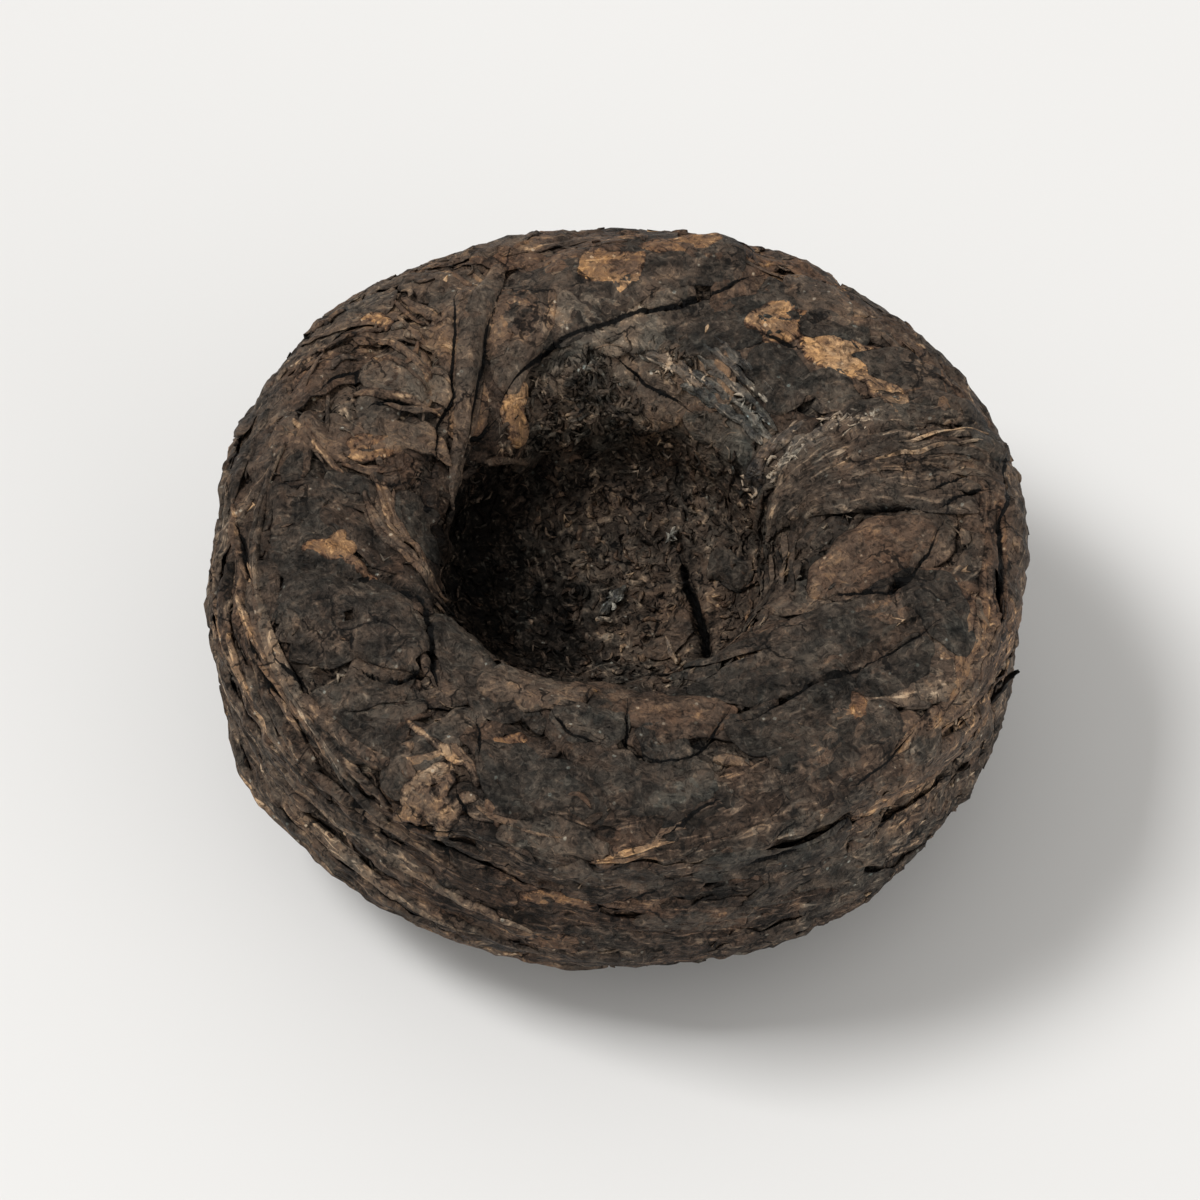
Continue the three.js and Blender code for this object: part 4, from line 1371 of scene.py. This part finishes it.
# %% Orange and golden flakes
FLAKE_FIELDS = ["angle", "place", "length", "width", "turn", "tone", "warm"]
FLAKES = [
    (120, 5.2, 2.2, 0.9, 72, 0.72, 0.80),
    (90, 1.1, 2.4, 1.6, -8, 0.74, 0.90),
    (78, -0.3, 2.8, 1.1, 27, 0.66, 0.90),
    (53, 1.2, 2.1, 1.7, -6, 0.78, 1.00),
    (38, 0.9, 3.0, 1.5, 30, 0.92, 0.95),
    (27, 0.8, 2.6, 0.9, 5, 0.78, 0.75),
    (195, 1.8, 2.8, 0.8, 55, 0.70, 1.00),
    (191, 2.0, 1.1, 0.9, 23, 0.72, 0.95),
    (251, 0.5, 1.3, 0.6, 40, 0.68, 1.00),
    (158, 3.1, 3.2, 0.5, -49, 0.64, 0.85),
    (163, 2.8, 1.9, 0.4, -55, 0.64, 0.85),
    (262, -5.4, 2.6, 0.8, -5, 0.64, 0.90),
    (261, -7.9, 1.8, 1.0, -5, 0.54, 0.85),
    (312, -0.4, 1.3, 0.6, 43, 0.54, 0.90),
    (240, -0.7, 2.6, 0.30, -10, 0.82, 0.60),
    (246, -0.9, 1.6, 0.3, -29, 0.66, 0.55),
    (243, -2.3, 1.6, 0.9, 2, 0.64, 0.50),
    (241, -1.8, 1.7, 0.5, 50, 0.74, 0.45),
    (246, -2.7, 1.6, 0.5, 70, 0.74, 0.45),
    (240, -2.9, 1.2, 0.5, 30, 0.70, 0.50),
    (333, -1.5, 3.5, 0.35, 16, 0.60, 0.75),
    (328, -1.9, 4.2, 0.35, 11, 0.64, 0.70),
    (318, -2.0, 2.3, 0.4, 2, 0.64, 0.65),
    (341, -1.5, 2.9, 0.35, 13, 0.60, 0.75),
    (136, 0.1, 1.3, 0.5, -72, 0.78, 1.00),
    (244, -1.7, 1.1, 0.5, 74, 0.60, 0.60),
    (247, -2.1, 1.4, 0.4, 59, 0.66, 0.50),
    (269, -5.3, 1.2, 0.4, -30, 0.58, 0.70),
    (352, -1.2, 4.6, 0.4, 8, 0.46, 0.60),
    (350, -1.9, 4.3, 0.4, 11, 0.50, 0.70),
]
FLAKE_HEAT = 1.6
FLAKE_SHADE = 0.10
flakes = table(FLAKE_FIELDS, FLAKES, 61, lift=0.13, ragged=0.3, dome=0.0, ridge=0.008, tilt=0.0, pitch=0.0)
flakes["warm"] *= FLAKE_HEAT
flakes["tone"] -= FLAKE_SHADE
lay_leaves("orange_flakes", flakes, rings=30, top=13, under=4, seed=62, finish=FLAKE, thickness=0.18)

# %% Fibres
FIBRES = 1000
HOLLOW_SHORTER = 0.55
HOLLOW_WALL = (5.5, 7.5)
draw, angle, place = spread(FIBRES, seed=71, low=-13.0, high=12.6)
shorter = 1 - HOLLOW_SHORTER * smooth(place, *HOLLOW_WALL)
fibres = leaf_set(FIBRES, 72, angle=angle, place=place,
                  turn=grain_turn(angle, place) + draw.normal(0, 30, FIBRES),
                  length=draw.uniform(0.4, 1.5, FIBRES) * shorter,
                  width=draw.uniform(0.05, 0.12, FIBRES),
                  lift=draw.uniform(0.0, 0.10, FIBRES), tone=0.24 + 0.36 * draw.uniform(0, 1, FIBRES) ** 3,
                  dome=0.02, ridges=1, ridge=0.0, tilt=0.0, pitch=draw.uniform(-0.04, 0.04, FIBRES))
lay_leaves("fibres", in_patches(clear_of_cracks(fibres)), rings=6, top=3, under=3, seed=73, thickness=0.1)

# %% Crumbs
CRUMBS = 1200
draw, angle, place = spread(CRUMBS, seed=81, low=-13.0, high=12.8)
crumbs = leaf_set(CRUMBS, 82, angle=angle, place=place, turn=draw.uniform(-90, 90, CRUMBS),
                  length=draw.uniform(0.15, 0.5, CRUMBS), width=draw.uniform(0.1, 0.25, CRUMBS),
                  lift=draw.uniform(0.05, 0.13, CRUMBS), tone=0.2 + 0.7 * draw.uniform(0, 1, CRUMBS) ** 4,
                  dome=0.03, ridges=1, ridge=0.0)
lay_leaves("crumbs", in_patches(clear_of_cracks(crumbs)), rings=3, top=3, under=3, seed=83, thickness=0.14)

# %% Knobs of broken leaf on the shoulder
KNOBS = 260
draw, angle, place = spread(KNOBS, seed=141, low=-6.5, high=-0.4)
knobs = leaf_set(KNOBS, 142, angle=angle, place=place, turn=draw.normal(-5, 25, KNOBS),
                 length=draw.uniform(0.4, 1.1, KNOBS), width=draw.uniform(0.25, 0.55, KNOBS),
                 lift=draw.uniform(0.0, 0.10, KNOBS), dome=draw.uniform(0.03, 0.11, KNOBS),
                 ridges=1, ridge=0.0, tone=draw.uniform(0.2, 0.42, KNOBS),
                 warm=draw.uniform(0.2, 0.9, KNOBS), blunt=2.5)
lay_leaves("knobs", in_patches(clear_of_cracks(knobs)), rings=8, top=6, under=3, seed=143, thickness=0.14,
           rough=0.04)

# %% Leaves that stand off the side
LOOSE_FIELDS = ["angle", "place", "length", "width", "turn", "lift", "pitch", "tone", "warm"]
LOOSE = [
    (338, -4.6, 1.9, 0.46, 80, 0.46, 0.36, 0.04, 0.2),
    (109, -1.5, 3.0, 1.6, 4, 0.09, -0.06, 0.34, 0.4),
    (160, -2.6, 2.2, 1.0, 10, 0.14, 0.12, 0.28, 0.4),
    (10, -1.5, 1.8, 0.9, -60, 0.16, 0.08, 0.24, 0.2),
]
loose = table(LOOSE_FIELDS, LOOSE, 151, dome=0.04, ridges=2, ridge=0.02, tilt=0.0, ragged=0.25, blunt=2.5)
lay_leaves("loose_leaves", loose, rings=26, top=9, under=4, seed=152, thickness=0.16, rough=0.04)

# %% [markdown]
# ## Floor, light and camera
# The nest stands on a plain pale floor. A soft lamp high at the left models the ring and leaves the
# left of the hollow dark, a wide low reflector at the front right lifts the side, and a pale world
# fills the rest. The camera looks down at about 52 degrees through a long lens.

# %% Floor
FLOOR_HALF = 0.4
FLOOR_COLOUR = (0.70, 0.695, 0.685, 1)
FLOOR_ROUGHNESS = 0.8
floor_finish = Finish("pale floor")
pale = floor_finish.node("ShaderNodeBsdfPrincipled", {},
                         {"Base Color": FLOOR_COLOUR, "Roughness": FLOOR_ROUGHNESS})
floor_mesh = bpy.data.meshes.new("floor")
floor_corners = [(-FLOOR_HALF, -FLOOR_HALF, 0), (FLOOR_HALF, -FLOOR_HALF, 0),
                 (FLOOR_HALF, FLOOR_HALF, 0), (-FLOOR_HALF, FLOOR_HALF, 0)]
floor_mesh.from_pydata(floor_corners, [], [(0, 1, 2, 3)])
floor_mesh.materials.append(floor_finish.surface(pale))
floor = bpy.data.objects.new("floor", floor_mesh)
bpy.context.scene.collection.objects.link(floor)


# %% Light
def soft_lamp(name, spot, aim, size, power):
    """An area lamp of a width and height at a spot, turned to face an aim."""
    lamp = bpy.data.lights.new(name, "AREA")
    lamp.shape = "RECTANGLE"
    lamp.size, lamp.size_y = size
    lamp.energy = power
    holder = bpy.data.objects.new(name, lamp)
    holder.location = spot
    way = np.array(aim) - np.array(spot)
    flat = np.hypot(way[0], way[1])
    holder.rotation_euler = (np.arctan2(flat, -way[2]), 0, np.arctan2(way[1], way[0]) - np.pi / 2)
    bpy.context.scene.collection.objects.link(holder)
    print(name, "lamp of", power, "watts")


NEST_MIDDLE = (0, 0, 0.006)
soft_lamp("window", spot=(-0.68, 0.08, 1.03), aim=NEST_MIDDLE, size=(0.40, 0.40), power=11.5)
soft_lamp("reflector", spot=(0.80, -0.66, 0.17), aim=NEST_MIDDLE, size=(1.2, 0.28), power=6.5)
ROOM_COLOUR = (1.0, 0.985, 0.96, 1)
ROOM_STRENGTH = 0.60
world = bpy.data.worlds.new("pale room")
world.use_nodes = True
background = world.node_tree.nodes["Background"]
background.inputs["Color"].default_value = ROOM_COLOUR
background.inputs["Strength"].default_value = ROOM_STRENGTH
bpy.context.scene.world = world
bpy.context.scene.view_settings.view_transform = "Standard"

# %% Camera
CAMERA_TILT = 52
CAMERA_AWAY = 180
PIXELS_PER_MM = 29.8
FRAME_PIXELS = 1200
SENSOR_WIDTH = 36
CLIP_START = 0.01
AIM = np.array([-0.53, 0.24, 6.19])
camera_data = bpy.data.cameras.new("camera")
camera_data.sensor_width = SENSOR_WIDTH
camera_data.lens = SENSOR_WIDTH * CAMERA_AWAY * PIXELS_PER_MM / FRAME_PIXELS
camera_data.clip_start = CLIP_START
camera = bpy.data.objects.new("camera", camera_data)
tilt = np.radians(CAMERA_TILT)
camera.location = (AIM + CAMERA_AWAY * np.array([0, -np.cos(tilt), np.sin(tilt)])) * MM
camera.rotation_euler = (np.pi / 2 - tilt, 0, 0)
bpy.context.scene.collection.objects.link(camera)
bpy.context.scene.camera = camera
print("camera", CAMERA_AWAY, "mm away with a lens of", round(camera_data.lens, 1), "mm")
